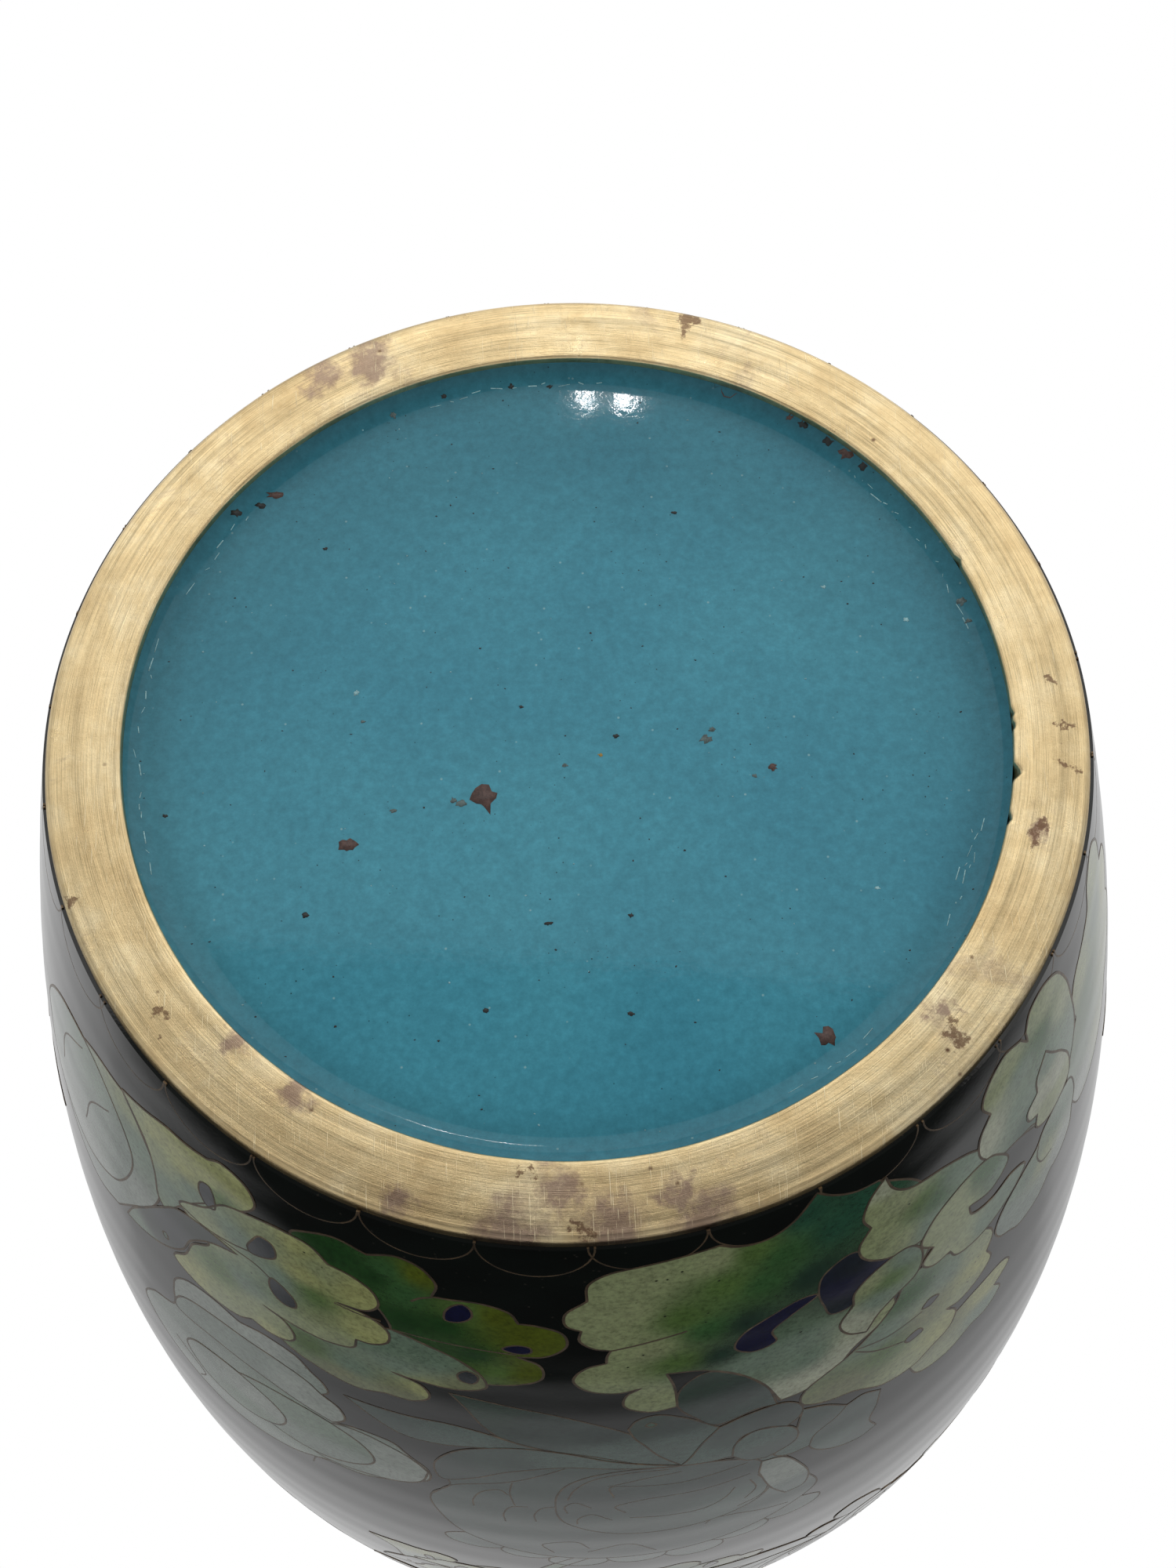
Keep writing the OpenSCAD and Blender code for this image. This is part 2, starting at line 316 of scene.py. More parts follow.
def worn_brass(name, patina, patches=(), pits=()):
    """Turned brass: fine rings from the lathe, short scratches every way, and brown patina left in patches.

    patches are (x, y, radius) in mm where the patina is thick, and pits are (x, y, radius) of dark hollows.
    """
    s = Shader(name, roughness=0.3, metallic=1.0)
    base = s.ramp(s.noise(75, 6, 0.7), [(0.30, linear(206, 178, 130)), (0.5, linear(232, 208, 160)),
                                        (0.68, linear(250, 232, 190))])
    # Broad bands around the ring, some browner and some greyer.
    bands = s.ramp(s.noise(1.0, 4, 0.6, vector=s.polar(900, 1.5)), [(0.35, 0.72), (0.5, 0.95), (0.65, 1.06)])
    color = s.times(base, bands)
    turned = s.noise(1.0, 5, 0.75, vector=s.polar(9000, 5))
    lines = s.ramp(turned, [(0.36, 0.66), (0.5, 1.0), (0.64, 1.16)])
    color = s.times(color, lines)
    stain_map = s.noise(75, 8, 0.75, distortion=0.8)
    mask = s.ramp(stain_map, [(patina + 0.08, 0.0), (patina + 0.2, 0.55)])
    for x, y, size in patches:
        near = s.spot_mask(x, y, size)
        mask = s.math("MAXIMUM", mask, s.ramp(s.math("MULTIPLY", near, s.math("ADD", stain_map, 0.35)),
                                              [(0.22, 0.0), (0.62, 0.8)]))
    brown = s.mix(s.noise(260, 5, 0.7), linear(120, 92, 80), linear(168, 146, 134))
    color = s.mix(mask, color, brown)
    bump = s.bump(turned, 0.4, 0.00008)
    # Three sets of short straight scratches.
    for turn, scale in ((0.5, 70), (1.9, 90), (2.8, 60)):
        stretched = s.node("Mapping", {"Vector": s.coords, "Rotation": (0.0, 0.0, turn),
                                       "Scale": (6000.0, scale * 3.0, 0.0)})
        cuts = s.ramp(s.noise(1.0, 2, 0.5, vector=stretched), [(0.66, 0.0), (0.70, 1.0)])
        where = s.ramp(s.noise(55 + scale, 3), [(0.46, 0.0), (0.6, 0.75)])
        cuts = s.math("MULTIPLY", cuts, where)
        color = s.mix(cuts, color, linear(252, 236, 196))
        bump = s.bump(cuts, 0.5, 0.00005, bump)
    for x, y, size in pits:
        color = s.mix(s.ramp(s.spot_mask(x, y, size), [(0.1, 0.0), (0.5, 0.8)]), color, linear(112, 84, 66))
    stain = s.ramp(s.cells(260), [(0.03, 0.0), (0.09, 1.0)])
    few = s.ramp(s.noise(70, 2), [(0.48, 1.0), (0.56, 0.0)])
    color = s.mix(s.mix(1.0, stain, few, "ADD"), linear(120, 95, 74), color)
    rough = s.ramp(s.noise(120, 5, 0.7), [(0.3, 0.24), (0.7, 0.42)])
    dents = s.bump(s.noise(420, 5, 0.65), 0.22, 0.00018, bump)
    fine = s.bump(s.noise(4200, 3, 0.6), 0.35, 0.00004, dents)
    return s.finish(color, rough, fine)


def wire_metal():
    s = Shader("wire_metal", roughness=0.3, metallic=0.5)
    color = s.ramp(s.noise(500, 4), [(0.3, linear(70, 56, 40)), (0.6, linear(112, 92, 68)),
                                     (0.8, linear(150, 128, 96))])
    return s.finish(color, None, s.bump(s.noise(3000, 2), 0.2, 0.00005))


def plain_metal(name, low, high, roughness):
    s = Shader(name, roughness=roughness, metallic=1.0)
    color = s.ramp(s.noise(80, 5, 0.65), [(0.3, linear(*low)), (0.7, linear(*high))])
    rings = s.noise(1.0, 3, vector=s.polar(600, 3, 2500))
    return s.finish(color, s.ramp(s.noise(200, 3), [(0.3, roughness), (0.8, roughness + 0.15)]),
                    s.bump(rings, 0.2, 0.0001))


def chip_material():
    s = Shader("chip", roughness=0.45)
    grain = s.ramp(s.noise(2500, 4, 0.7), [(0.3, 0.5), (0.7, 1.5)])
    color = s.times(s.tint(), grain)
    return s.finish(color, None, s.bump(s.noise(1800, 4, 0.7), 0.6, 0.0002))


BLACK = black_enamel()
LEAF = cell_enamel("leaf_enamel_glass")
PETAL = cell_enamel("petal_enamel_glass")
BLOSSOM = cell_enamel("blossom_enamel_glass")
SPOT = cell_enamel("spot_enamel_glass")
BASE = turquoise_enamel("base_turquoise", (67, 142, 163), (78, 155, 174), BASE_R)
LINING = turquoise_enamel("lining_turquoise", (58, 120, 140), (84, 158, 176))
PATINA = ((20.5, 47.4, 4.6), (26, 45, 4.2), (-2, -54.5, 6), (8, -53.6, 6), (-11, -53.4, 5), (19, -50.5, 4),
          (-48, -15, 2.6), (34.5, -33.0, 3.6), (28, -38, 3.2), (-36, -34, 2.6), (3, -50, 4), (-8, -50, 3.4))
PITS = ((-16.5, 50.4, 1.4), (-48.4, -14.6, 1.3), (-47.6, -16, 1.0), (-51.4, -3.5, 0.8), (-51.6, -7, 0.9),
        (-51.2, 1.5, 0.8), (42.4, -30.9, 0.9), (1.1, -54.0, 0.9), (6.2, -48.4, 0.8), (-36.8, -36.3, 1.0),
        (51.6, -18, 1.0), (-53.6, -11, 0.8))
BRASS = worn_brass("worn_brass", 0.5, PATINA, PITS)
RIM_BRASS = worn_brass("rim_brass", 0.55)
WIRE = wire_metal()
COPPER = plain_metal("spun_copper", (150, 88, 62), (196, 128, 96), 0.35)
SOLDER = plain_metal("silver_braze", (150, 146, 138), (200, 196, 188), 0.3)
CHIP = chip_material()


# ---------------------------------------------------------------- mesh helpers

def mesh_piece(name, verts, faces, material, replaces=(), smooth=True, tint=None, closed=True):
    """A mesh object that rides on the vase. tint is one linear colour per vertex.

    closed is for a mesh with no open edge, whose faces can all be turned outwards.
    """
    mesh = bpy.data.meshes.new(name)
    mesh.from_pydata([tuple(v) for v in verts], [], [tuple(f) for f in faces])
    mesh.materials.append(material)
    if smooth:
        mesh.shade_smooth()
    if tint is not None:
        layer = mesh.color_attributes.new("tint", "FLOAT_COLOR", "POINT")
        flat = np.ones((len(verts), 4), np.float32)
        flat[:, :3] = tint
        layer.data.foreach_set("color", flat.ravel())
    if closed:
        bm = bmesh.new()
        bm.from_mesh(mesh)
        bmesh.ops.recalc_face_normals(bm, faces=bm.faces)
        bm.to_mesh(mesh)
        bm.free()
        if smooth:
            mesh.set_sharp_from_angle(angle=math.radians(35))
    obj = bpy.data.objects.new(name, mesh)
    COLLECTION.objects.link(obj)
    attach(obj, "root")
    if replaces:
        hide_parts(*replaces)
    return obj


def revolve(loop, segments):
    """A closed loop of (radius, height) in mm turned about Z. Returns vertices in metres, and faces."""
    loop = np.asarray(loop, float)
    turn = np.arange(segments) * 2 * math.pi / segments
    n = len(loop)
    verts = np.stack([np.outer(np.sin(turn), loop[:, 0]), np.outer(-np.cos(turn), loop[:, 0]),
                      np.tile(loop[:, 1], (segments, 1))], -1).reshape(-1, 3) * MM
    faces = []
    for i in range(segments):
        j = (i + 1) % segments
        for k in range(n):
            m = (k + 1) % n
            faces.append((i * n + k, j * n + k, j * n + m, i * n + m))
    return verts, faces


def arc(cx, cz, r, start, end, steps):
    """Points of an arc in the (radius, height) plane, angles in degrees from +radius."""
    t = np.radians(np.linspace(start, end, steps + 1))
    return [(cx + r * math.cos(a), cz + r * math.sin(a)) for a in t]


# ---------------------------------------------------------------- outlines on the body

# Turns an angle and a height into mm, near enough for spacing points and blending colours.
UNROLL = np.array([1.1, 1.0])
OUTLINE_STEP = 0.4


def smooth_line(points, closed):
    """A centripetal curve through points, sampled at about OUTLINE_STEP."""
    p = [np.array(q[:2], float) for q in points]
    n = len(p)
    out = []
    for i in range(n if closed else n - 1):
        p1, p2 = p[i], p[(i + 1) % n]
        p0 = p[(i - 1) % n] if closed or i > 0 else 2 * p1 - p2
        p3 = p[(i + 2) % n] if closed or i + 2 < n else 2 * p2 - p1
        gaps = ((p1 - p0) * UNROLL, (p2 - p1) * UNROLL, (p3 - p2) * UNROLL)
        d = [max(math.sqrt(np.linalg.norm(gap)), 1e-3) for gap in gaps]
        m1 = (p1 - p0) / d[0] - (p2 - p0) / (d[0] + d[1]) + (p2 - p1) / d[1]
        m2 = (p2 - p1) / d[1] - (p3 - p1) / (d[1] + d[2]) + (p3 - p2) / d[2]
        m1, m2 = m1 * d[1], m2 * d[1]
        steps = max(2, int(np.linalg.norm((p2 - p1) * UNROLL) / OUTLINE_STEP))
        for k in range(steps):
            t = k / steps
            out.append(p1 * (2 * t ** 3 - 3 * t ** 2 + 1) + m1 * (t ** 3 - 2 * t ** 2 + t)
                       + p2 * (3 * t ** 2 - 2 * t ** 3) + m2 * (t ** 3 - t ** 2))
    if not closed:
        out.append(p[-1])
    return out


def outline(points):
    """A closed outline. A point with a third value is a corner, such as the notch between two lobes."""
    corners = [i for i, q in enumerate(points) if len(q) > 2]
    if not corners:
        return np.array(smooth_line(points, True))
    out = []
    n = len(points)
    for c, start in enumerate(corners):
        end = corners[(c + 1) % len(corners)]
        length = (end - start) % n or n
        run = [points[(start + k) % n] for k in range(length + 1)]
        out += smooth_line(run, False)[:-1]
    return np.array(out)


def inside(poly, pts):
    """Which points lie inside a polygon."""
    x, y = pts[:, 0], pts[:, 1]
    hit = np.zeros(len(pts), bool)
    j = len(poly) - 1
    for i in range(len(poly)):
        xi, yi = poly[i]
        xj, yj = poly[j]
        cross = ((yi > y) != (yj > y)) & (x < (xj - xi) * (y - yi) / (yj - yi + 1e-12) + xi)
        hit ^= cross
        j = i
    return hit


def fill(loop, grid=1.0):
    """Triangles inside an outline, with a grid of points inside so that the patch can curve."""
    flat = loop * UNROLL
    low, high = flat.min(0), flat.max(0)
    gx, gy = np.meshgrid(np.arange(low[0], high[0], grid), np.arange(low[1], high[1], grid))
    pts = np.stack([gx.ravel(), gy.ravel()], -1)
    pts = pts[inside(flat, pts)]
    if len(pts):
        gap = np.sqrt(((pts[:, None] - flat[None]) ** 2).sum(-1)).min(1)
        pts = pts[gap > 0.35 * grid]
    coords = [Vector(p) for p in np.concatenate([flat, pts])]
    verts, _, faces, _, _, _ = delaunay_2d_cdt(coords, [], [list(range(len(flat)))], 1, 1e-5)
    return np.array([tuple(v) for v in verts]) / UNROLL, faces


class Layer:
    """Collects cells and wires of one kind into a single mesh."""

    def __init__(self):
        self.verts, self.faces, self.tints = [], [], []

    def add(self, verts, faces, tint=None):
        start = sum(len(v) for v in self.verts)
        self.verts.append(np.asarray(verts))
        self.faces += [tuple(start + i for i in f) for f in faces]
        if tint is not None:
            self.tints.append(tint)

    def piece(self, name, material, slot, replaces, smooth=True):
        tint = np.concatenate(self.tints) if self.tints else None
        return mesh_piece(name, np.concatenate(self.verts), self.faces, material, replaces,
                          smooth, tint, closed=not self.tints)


def blend_colours(places, dabs):
    """Colours at places from dabs of colour, each the stronger the nearer it is."""
    at = np.array([q for spots in dabs.values() for q in spots], float) * UNROLL
    col = np.array([linear(*colour) for colour, spots in dabs.items() for _ in spots])
    gap = ((places[:, None] * UNROLL - at[None]) ** 2).sum(-1)
    w = 1.0 / (gap + 0.6) ** 1.6
    return (w[..., None] * col).sum(1) / w.sum(1, keepdims=True)


# Each level of a cell stands this much higher, and its wire is a little proud of it.
LAYER_STEP = 0.012
WIRE_PROUD = 0.007
# How deep cells and wires reach under the ground's surface.
CELL_DEPTH = 0.25
WIRE_DEPTH = 0.2
# The top of a wire as a share of its width.
WIRE_TAPER = 0.92


def wire_along(layer, path, closed, lift, width):
    """A flat wire set on edge along a path of (angle, height): a rectangle swept along it."""
    path = np.asarray(path, float)
    base = on_body(path[:, 0], path[:, 1])
    if closed:
        ahead, behind = np.roll(base, -1, 0), np.roll(base, 1, 0)
    else:
        ahead = np.concatenate([base[1:], base[-1:]])
        behind = np.concatenate([base[:1], base[:-1]])
    along = ahead - behind
    along /= np.maximum(np.linalg.norm(along, axis=1, keepdims=True), 1e-9)
    normal = body_normal(path[:, 0], path[:, 1])
    side = np.cross(normal, along) * width / 2 * MM
    top = (lift + WIRE_PROUD) * MM
    rows = [base - side - normal * WIRE_DEPTH * MM, base - side * WIRE_TAPER + normal * top,
            base + side * WIRE_TAPER + normal * top, base + side - normal * WIRE_DEPTH * MM]
    verts = np.stack(rows, 1).reshape(-1, 3)
    n = len(path)
    faces = []
    for i in range(n if closed else n - 1):
        j = (i + 1) % n
        for k in range(4):
            m = (k + 1) % 4
            faces.append((i * 4 + k, j * 4 + k, j * 4 + m, i * 4 + m))
    if not closed:
        faces += [(0, 1, 2, 3), ((n - 1) * 4 + 3, (n - 1) * 4 + 2, (n - 1) * 4 + 1, (n - 1) * 4)]
    layer.add(verts, faces)


def cell(cells, wires, points, dabs, level, width, move=None):
    """One enamel cell with its wire: points and dabs in (angle, height), moved elsewhere by move."""
    loop = outline(points)
    places, faces = fill(loop)
    tint = blend_colours(places, dabs)
    lift = level * LAYER_STEP
    if move is not None:
        places, loop = move(places), move(loop)
    n = len(places)
    u, v = places.T
    turns = sum(u[f[0]] * (v[f[1]] - v[f[2]]) + u[f[1]] * (v[f[2]] - v[f[0]]) + u[f[2]] * (v[f[0]] - v[f[1]])
                for f in faces)
    if turns < 0:
        faces = [tuple(reversed(f)) for f in faces]
    top = on_body(u, v, lift)
    bottom = on_body(u, v, -CELL_DEPTH)
    edges = {(a, b) for f in faces for a, b in zip(f, list(f[1:]) + [f[0]])}
    rim = [(a, b) for a, b in edges if (b, a) not in edges]
    # The top keeps its own points, so that the walls don't bend its shading.
    all_faces = [tuple(f) for f in faces] + [tuple(i + n for i in reversed(f)) for f in faces]
    all_faces += [(b + 2 * n, a + 2 * n, a + n, b + n) for a, b in rim]
    cells.add(np.concatenate([top, bottom, top]), all_faces, np.concatenate([tint] * 3))
    wire_along(wires, loop, True, lift, width)


def wire(wires, points, level, width, move):
    """An open wire, such as a vein or a slit between two lobes."""
    path = np.array(smooth_line(points, False))
    if move is not None:
        path = move(path)
    wire_along(wires, path, False, level * LAYER_STEP, width)


def turned_by(turn):
    """Turns a pattern about the axis."""
    def move(p):
        return np.stack([p[:, 0] + turn, p[:, 1]], -1)
    return move


def length_up(z):
    """Length along the profile up to a height."""
    return np.interp(z, TABLE_Z, TABLE_S)


def placed(source, target, scale, hand):
    """Lifts a pattern from its source place to a target and scales it. A hand of -1 mirrors it."""
    def move(p):
        u = (p[:, 0] - source[0]) * math.radians(1) * radius(source[1]) * scale * hand
        s = (length_up(p[:, 1]) - length_up(source[1])) * scale + length_up(target[1])
        z = np.interp(s, TABLE_S, TABLE_Z)
        return np.stack([target[0] + np.degrees(u / radius(z)), z], -1)
    return move


# ---------------------------------------------------------------- the decoration

PALE = (158, 168, 124)
LIME = (176, 180, 118)
IVORY = (180, 186, 160)
GREEN = (62, 104, 58)
MOSS = (92, 122, 62)
MIST = (116, 140, 118)
TEAL = (44, 88, 66)
PINE = (38, 64, 50)
CHARTREUSE = (92, 104, 26)
FOREST = (34, 74, 32)
NAVY = (20, 22, 58)
SLATE = (34, 42, 50)
OLIVE = (124, 130, 88)
CELADON = (126, 142, 130)
PEARL = (156, 166, 156)
ASH = (38, 50, 46)
DUSK = (47, 64, 59)
HAZE = (58, 78, 71)
MINT = (77, 100, 91)

# Each entry: kind, level, outline, and the places of its dabs of colour.
SPRAY = [
    # The large leaf at the front, pale lobes towards +X and deep green towards -X.
    ("leaf", 1, [(-26.2, 41.8), (-23.8, 45.8), (-20.3, 47.6), (-17.9, 47.4, 1), (-16.2, 40.6), (-13.3, 34.8),
     (-10, 31.7), (-6.6, 30.7, 1), (-7.3, 34.7), (-7.5, 40.2, 1), (-4.9, 40.6), (-2.4, 38.4), (-2.6, 35.3),
     (-4.1, 33.6, 1), (-1.6, 34.4), (1.2, 33.2), (2.5, 30.4), (1.3, 27.5), (-0.8, 26.3, 1), (-0.9, 24.6),
     (-1.3, 23.2, 1), (0.3, 22.6), (1.7, 20.6), (1.5, 18.3, 1), (2.9, 17.2), (3, 14.6), (0.8, 11.7, 1),
     (0.6, 8.4), (-1.4, 6.4), (-5, 5.5), (-12.6, 4.5, 1), (-14.6, 5.9), (-17.5, 6.4), (-20.3, 5.1),
     (-23.2, 1.6, 1), (-25, 3.6), (-27.4, 5.3), (-30.2, 6, 1), (-35, 12), (-37, 24), (-34, 32),
     (-31.2, 34.1), (-31, 37.2), (-29.2, 39.7)],
     {PALE: [(-3, 15), (0, 15), (-5, 8), (-12, 7), (-1, 20), (-5, 24), (0, 30), (-5, 37), (-29, 37)],
      MOSS: [(-8, 28), (-8.5, 18), (-13, 13), (-16, 8)], GREEN: [(-17, 15), (-11, 22), (-19, 11)],
      TEAL: [(-25, 10), (-22, 5), (-28, 8)], PINE: [(-22, 18), (-15, 23), (-12, 29), (-27, 26)],
      MIST: [(-15, 33), (-20, 33), (-21, 38)], IVORY: [(-22, 45), (-19, 46), (-26, 40)]}),
    # Navy accents on it.
    ("spot", 2, [(-26.2, 30), (-23.8, 29.6), (-23, 26.6), (-22.5, 22.6), (-23.2, 19.2), (-26.2, 17.6),
     (-28.6, 20), (-29.8, 23), (-33, 25), (-29.5, 26)],
     {NAVY: [(-25, 25), (-30, 24.6)], SLATE: [(-27, 21), (-24, 28)]}),
    ("spot", 2, [(-22.4, 23), (-19.6, 25), (-17.4, 27.2), (-17.7, 30), (-15.4, 30.6), (-13.5, 28.4),
     (-14.4, 25.4), (-17.4, 23.3), (-20.6, 22.2)],
     {NAVY: [(-16, 28), (-21, 23.4), (-17, 25)]}),
    # A leaf with a curled tip.
    ("leaf", 3, [(-45, 20.5), (-41, 22.5), (-36, 25.6), (-32.6, 25.2), (-29.6, 23.2), (-27.6, 20.2),
     (-27.3, 17.4), (-28.8, 14.7, 1), (-28, 12), (-28.9, 8.8), (-31, 6.2, 1), (-31.8, 9.4), (-33.8, 11.9),
     (-38.5, 13.7), (-42.4, 16.4)],
     {PALE: [(-30, 18), (-29, 12), (-32, 22), (-33, 14)], IVORY: [(-31, 8)], GREEN: [(-37, 19)],
      MIST: [(-40, 17), (-43, 19), (-36, 23)], MOSS: [(-35, 17)]}),
    # A small curled leaf above it.
    ("leaf", 4, [(-34.6, 30.6), (-33.6, 33.2), (-31, 34.8), (-29, 36.6), (-27.5, 39.5, 1), (-25.5, 37.2),
     (-24.6, 33.6), (-26.2, 30.3, 1), (-26.5, 27.4), (-29.1, 25), (-32.6, 24.6), (-34.4, 27)],
     {IVORY: [(-26.4, 35), (-27.2, 37.8)], MOSS: [(-31, 30)], MIST: [(-33, 27), (-29, 33)],
      PALE: [(-28, 27)]}),
    # A swirling leaf with a hook of ground inside it.
    ("leaf", 5, [(-50.3, 34.4), (-47.4, 37.2), (-42.8, 38.6), (-39.2, 37.4), (-38.2, 34.7, 1), (-36, 34.6),
     (-34.6, 32), (-36.1, 29.8, 1), (-34.6, 27), (-36.6, 23), (-40.9, 20.8), (-44.4, 21.4), (-46.4, 24),
     (-47.5, 27.4), (-44.6, 29.6), (-41.2, 28, 1), (-41.6, 30.6), (-44.5, 32.2), (-47.8, 32)],
     {PALE: [(-38, 32), (-37, 27), (-40, 23), (-40, 36), (-40, 27)], MIST: [(-43, 36), (-47, 34.5),
      (-46, 27)], GREEN: [(-45, 25), (-43, 23)]}),
    # The forked leaf at the side.
    ("leaf", 4, [(-46, 24.2), (-49.5, 26), (-54, 30), (-58.5, 32), (-61, 28), (-62.5, 22.4), (-62.2, 15.3),
     (-61.4, 9.8), (-59.4, 5), (-56.2, 2.9), (-53.6, 3.4), (-52.4, 6, 1), (-52.6, 8.3, 1), (-51.4, 6, 1),
     (-48.4, 4.6), (-45.6, 6.4), (-44.3, 9.4), (-45.4, 12.6, 1), (-43.6, 15.2), (-43.2, 18.6),
     (-44.2, 21.4)],
     {PALE: [(-57, 6), (-49, 7), (-46, 10), (-60, 12)], IVORY: [(-45, 17)], GREEN: [(-55, 12)],
      MIST: [(-51, 12), (-50, 19), (-56, 17), (-60, 22), (-57, 29)], TEAL: [(-52, 25)]}),
    ("leaf", 6, [(-60, 31), (-60.4, 27), (-59, 22.7), (-56.9, 18.8), (-55.6, 16, 1), (-53.4, 18.8),
     (-53.3, 21.8, 1), (-51.3, 23), (-51.4, 25.4), (-53, 26.9, 1), (-52.7, 29.6), (-54.8, 31.8),
     (-57.6, 32.2)],
     {IVORY: [(-57, 25), (-54, 23)], MIST: [(-56, 19)], PALE: [(-58, 29), (-55, 28)]}),
    # Pale lobes of the leaf that goes on round the side.
    ("leaf", 2, [(-60, 30), (-63, 23, 1), (-62.2, 19), (-63.6, 14.4), (-67.2, 11.6, 1), (-69.4, 9.8),
     (-70.6, 5.6), (-73.6, 3.4), (-76.4, 6.8), (-76.8, 12.4, 1), (-79.4, 14.4), (-80.6, 19.6), (-79, 25, 1),
     (-80.4, 30), (-78, 36), (-74.4, 38.4, 1), (-72.6, 43.4), (-68.4, 46.8), (-63.4, 46.6), (-61, 42)],
     {PALE: [(-65, 16), (-73, 6), (-75, 30), (-70, 42)], LIME: [(-78, 18)], MIST: [(-72, 16), (-66, 33)],
      GREEN: [(-68, 24)], PEARL: [(-64, 42)]}),
    # A wavy leaf over the forked one.
    ("leaf", 3, [(-60, 33), (-61.4, 38), (-60.6, 42.4, 1), (-60, 46.4), (-57.4, 48.6), (-55.2, 48.4, 1),
     (-52.6, 50.4), (-49, 50), (-47.4, 48, 1), (-45.6, 45.8), (-45, 42.4), (-46.4, 39), (-50, 36.4),
     (-52.6, 35.4), (-54.4, 33.2)],
     {CELADON: [(-50, 47), (-47, 43)], PEARL: [(-57, 46)], PALE: [(-54, 41)], MIST: [(-58, 37), (-51, 39)]}),
    # The yellow-green leaf above the curl.
    ("leaf", 2, [(-36, 33), (-39, 36), (-43.4, 38.6), (-44.6, 42), (-43.6, 45.6, 1), (-44.2, 49),
     (-42, 51.6), (-39.4, 52.4), (-37.6, 51.2, 1), (-39, 54.6), (-38, 58.4), (-35.6, 59.8, 1), (-33.4, 61.4),
     (-29.6, 60.4), (-26, 56.2), (-22.6, 54.4), (-20.2, 51.6), (-20.6, 47.8), (-26.2, 43), (-31, 37),
     (-32.6, 33)],
     {LIME: [(-42, 47), (-37, 56)], PALE: [(-40, 50), (-42, 41), (-31, 58)], OLIVE: [(-25, 53), (-35, 47)],
      MIST: [(-38, 40), (-30, 44)], GREEN: [(-34, 38)], MOSS: [(-30, 50)]}),
    ("leaf", 1, [(-38, 56), (-41.6, 54.8), (-46.2, 55.4), (-47.4, 58), (-45, 60.6, 1), (-46, 64),
     (-44, 66.6), (-41.4, 66.2, 1), (-38, 67.8), (-34.4, 66.4), (-33, 62.4), (-33, 58)],
     {LIME: [(-44, 58)], MIST: [(-43, 64)], PALE: [(-37, 65)], OLIVE: [(-37, 59)]}),
    # The dark leaf with bright tips.
    ("leaf", 2, [(20.5, 24.2), (22.2, 28), (18, 32), (12.6, 33), (8.2, 32.2), (5.6, 30.2), (5.7, 26.8),
     (7.9, 24.9, 1), (5, 24.4), (3, 21.8), (3.4, 18.8), (5.8, 17.3), (7.6, 17, 1), (8.5, 14.8), (11.4, 13.5),
     (14.4, 13.8), (16.2, 14, 1), (15.7, 11.2), (17.3, 8.4), (19.8, 7.5), (22.9, 9.1, 1), (26.2, 8.3),
     (29.4, 9.8), (31.4, 11.8), (29, 15), (24, 17)],
     {CHARTREUSE: [(7, 30), (6.5, 28), (5, 22), (7, 20), (10, 16), (17.5, 10)], MOSS: [(13, 16), (10, 29)],
      FOREST: [(12, 26), (15, 20), (19, 21), (22, 13), (26, 11), (18, 28)], GREEN: [(21, 11), (19, 15)]}),
    ("spot", 3, [(6.5, 23.6), (7.9, 24.1), (9.3, 23.2), (8, 22.1), (6.6, 22.4)],
     {NAVY: [(8, 23)]}),
    ("spot", 3, [(12.4, 15), (12.2, 16.8), (13.4, 18.4), (14.8, 18.6), (14.9, 16.8), (14, 14.9),
     (13.1, 14.3)],
     {NAVY: [(13.6, 16.6)]}),
    # The olive leaf behind the pale one.
    ("leaf", 3, [(20.6, 24.4), (16.8, 25.9), (13.8, 27.7), (11.6, 30.6), (11.1, 34), (13.8, 35.8),
     (17.9, 35.9), (20.6, 35.6, 1), (17.6, 37), (16.8, 39.8), (18.6, 42.2), (21.4, 42.5, 1), (24.4, 44.1),
     (28.5, 43.3), (32.6, 41), (34, 36), (28, 30)],
     {OLIVE: [(20, 41), (26, 42), (13, 34)], LIME: [(17, 38)], MIST: [(25, 38), (20, 33), (16, 30), (22, 29),
      (19, 27)], MOSS: [(30, 38)]}),
    ("spot", 4, [(11.8, 32), (12.4, 33.4), (13.6, 33), (13.8, 31.4), (12.9, 30.2), (12, 30.7)],
     {SLATE: [(12.8, 31.8)]}),
    # The large pale leaf.
    ("leaf", 5, [(31.2, 38), (31.9, 39.9), (34.2, 41), (36.4, 40.5, 1), (38, 42.4), (41, 43.4), (44.4, 43.2),
     (47, 41.6), (45.2, 37.4), (44, 32.4), (41.7, 28.2), (44, 26), (45.8, 24.6), (42, 19.6), (39.5, 15.6),
     (35.6, 13.4), (32.1, 12.4), (29.1, 12.5), (27.1, 14.7, 1), (24.8, 15), (22.5, 16.6), (21.7, 19.4),
     (23, 21.8), (26.3, 22.7, 1), (23.4, 22.8), (20.9, 25), (20.9, 28), (22.6, 29.8), (24.2, 30.1, 1),
     (24.6, 32.6), (27.4, 34.2), (31, 34.5), (34.9, 34.1, 1), (32.4, 35)],
     {LIME: [(23, 27), (24, 19), (31, 14), (34, 40), (44, 41), (30, 20)], PALE: [(28, 17), (34, 16),
      (27, 31), (33, 38), (40, 41), (41, 24), (36, 37)], MOSS: [(29, 24), (40, 33)], MIST: [(33, 24),
      (38, 21), (37, 31)]}),
    ("spot", 6, [(30.9, 28), (31, 29.6), (32.4, 30.1), (33.6, 28.8), (34, 26.6), (33.6, 25.2), (32.2, 26)],
     {SLATE: [(32.5, 28)]}),
    ("spot", 6, [(33.1, 19.4), (33.9, 20.8), (36.2, 22.2), (36.6, 21.4), (36, 19), (35, 16.9), (33.6, 17)],
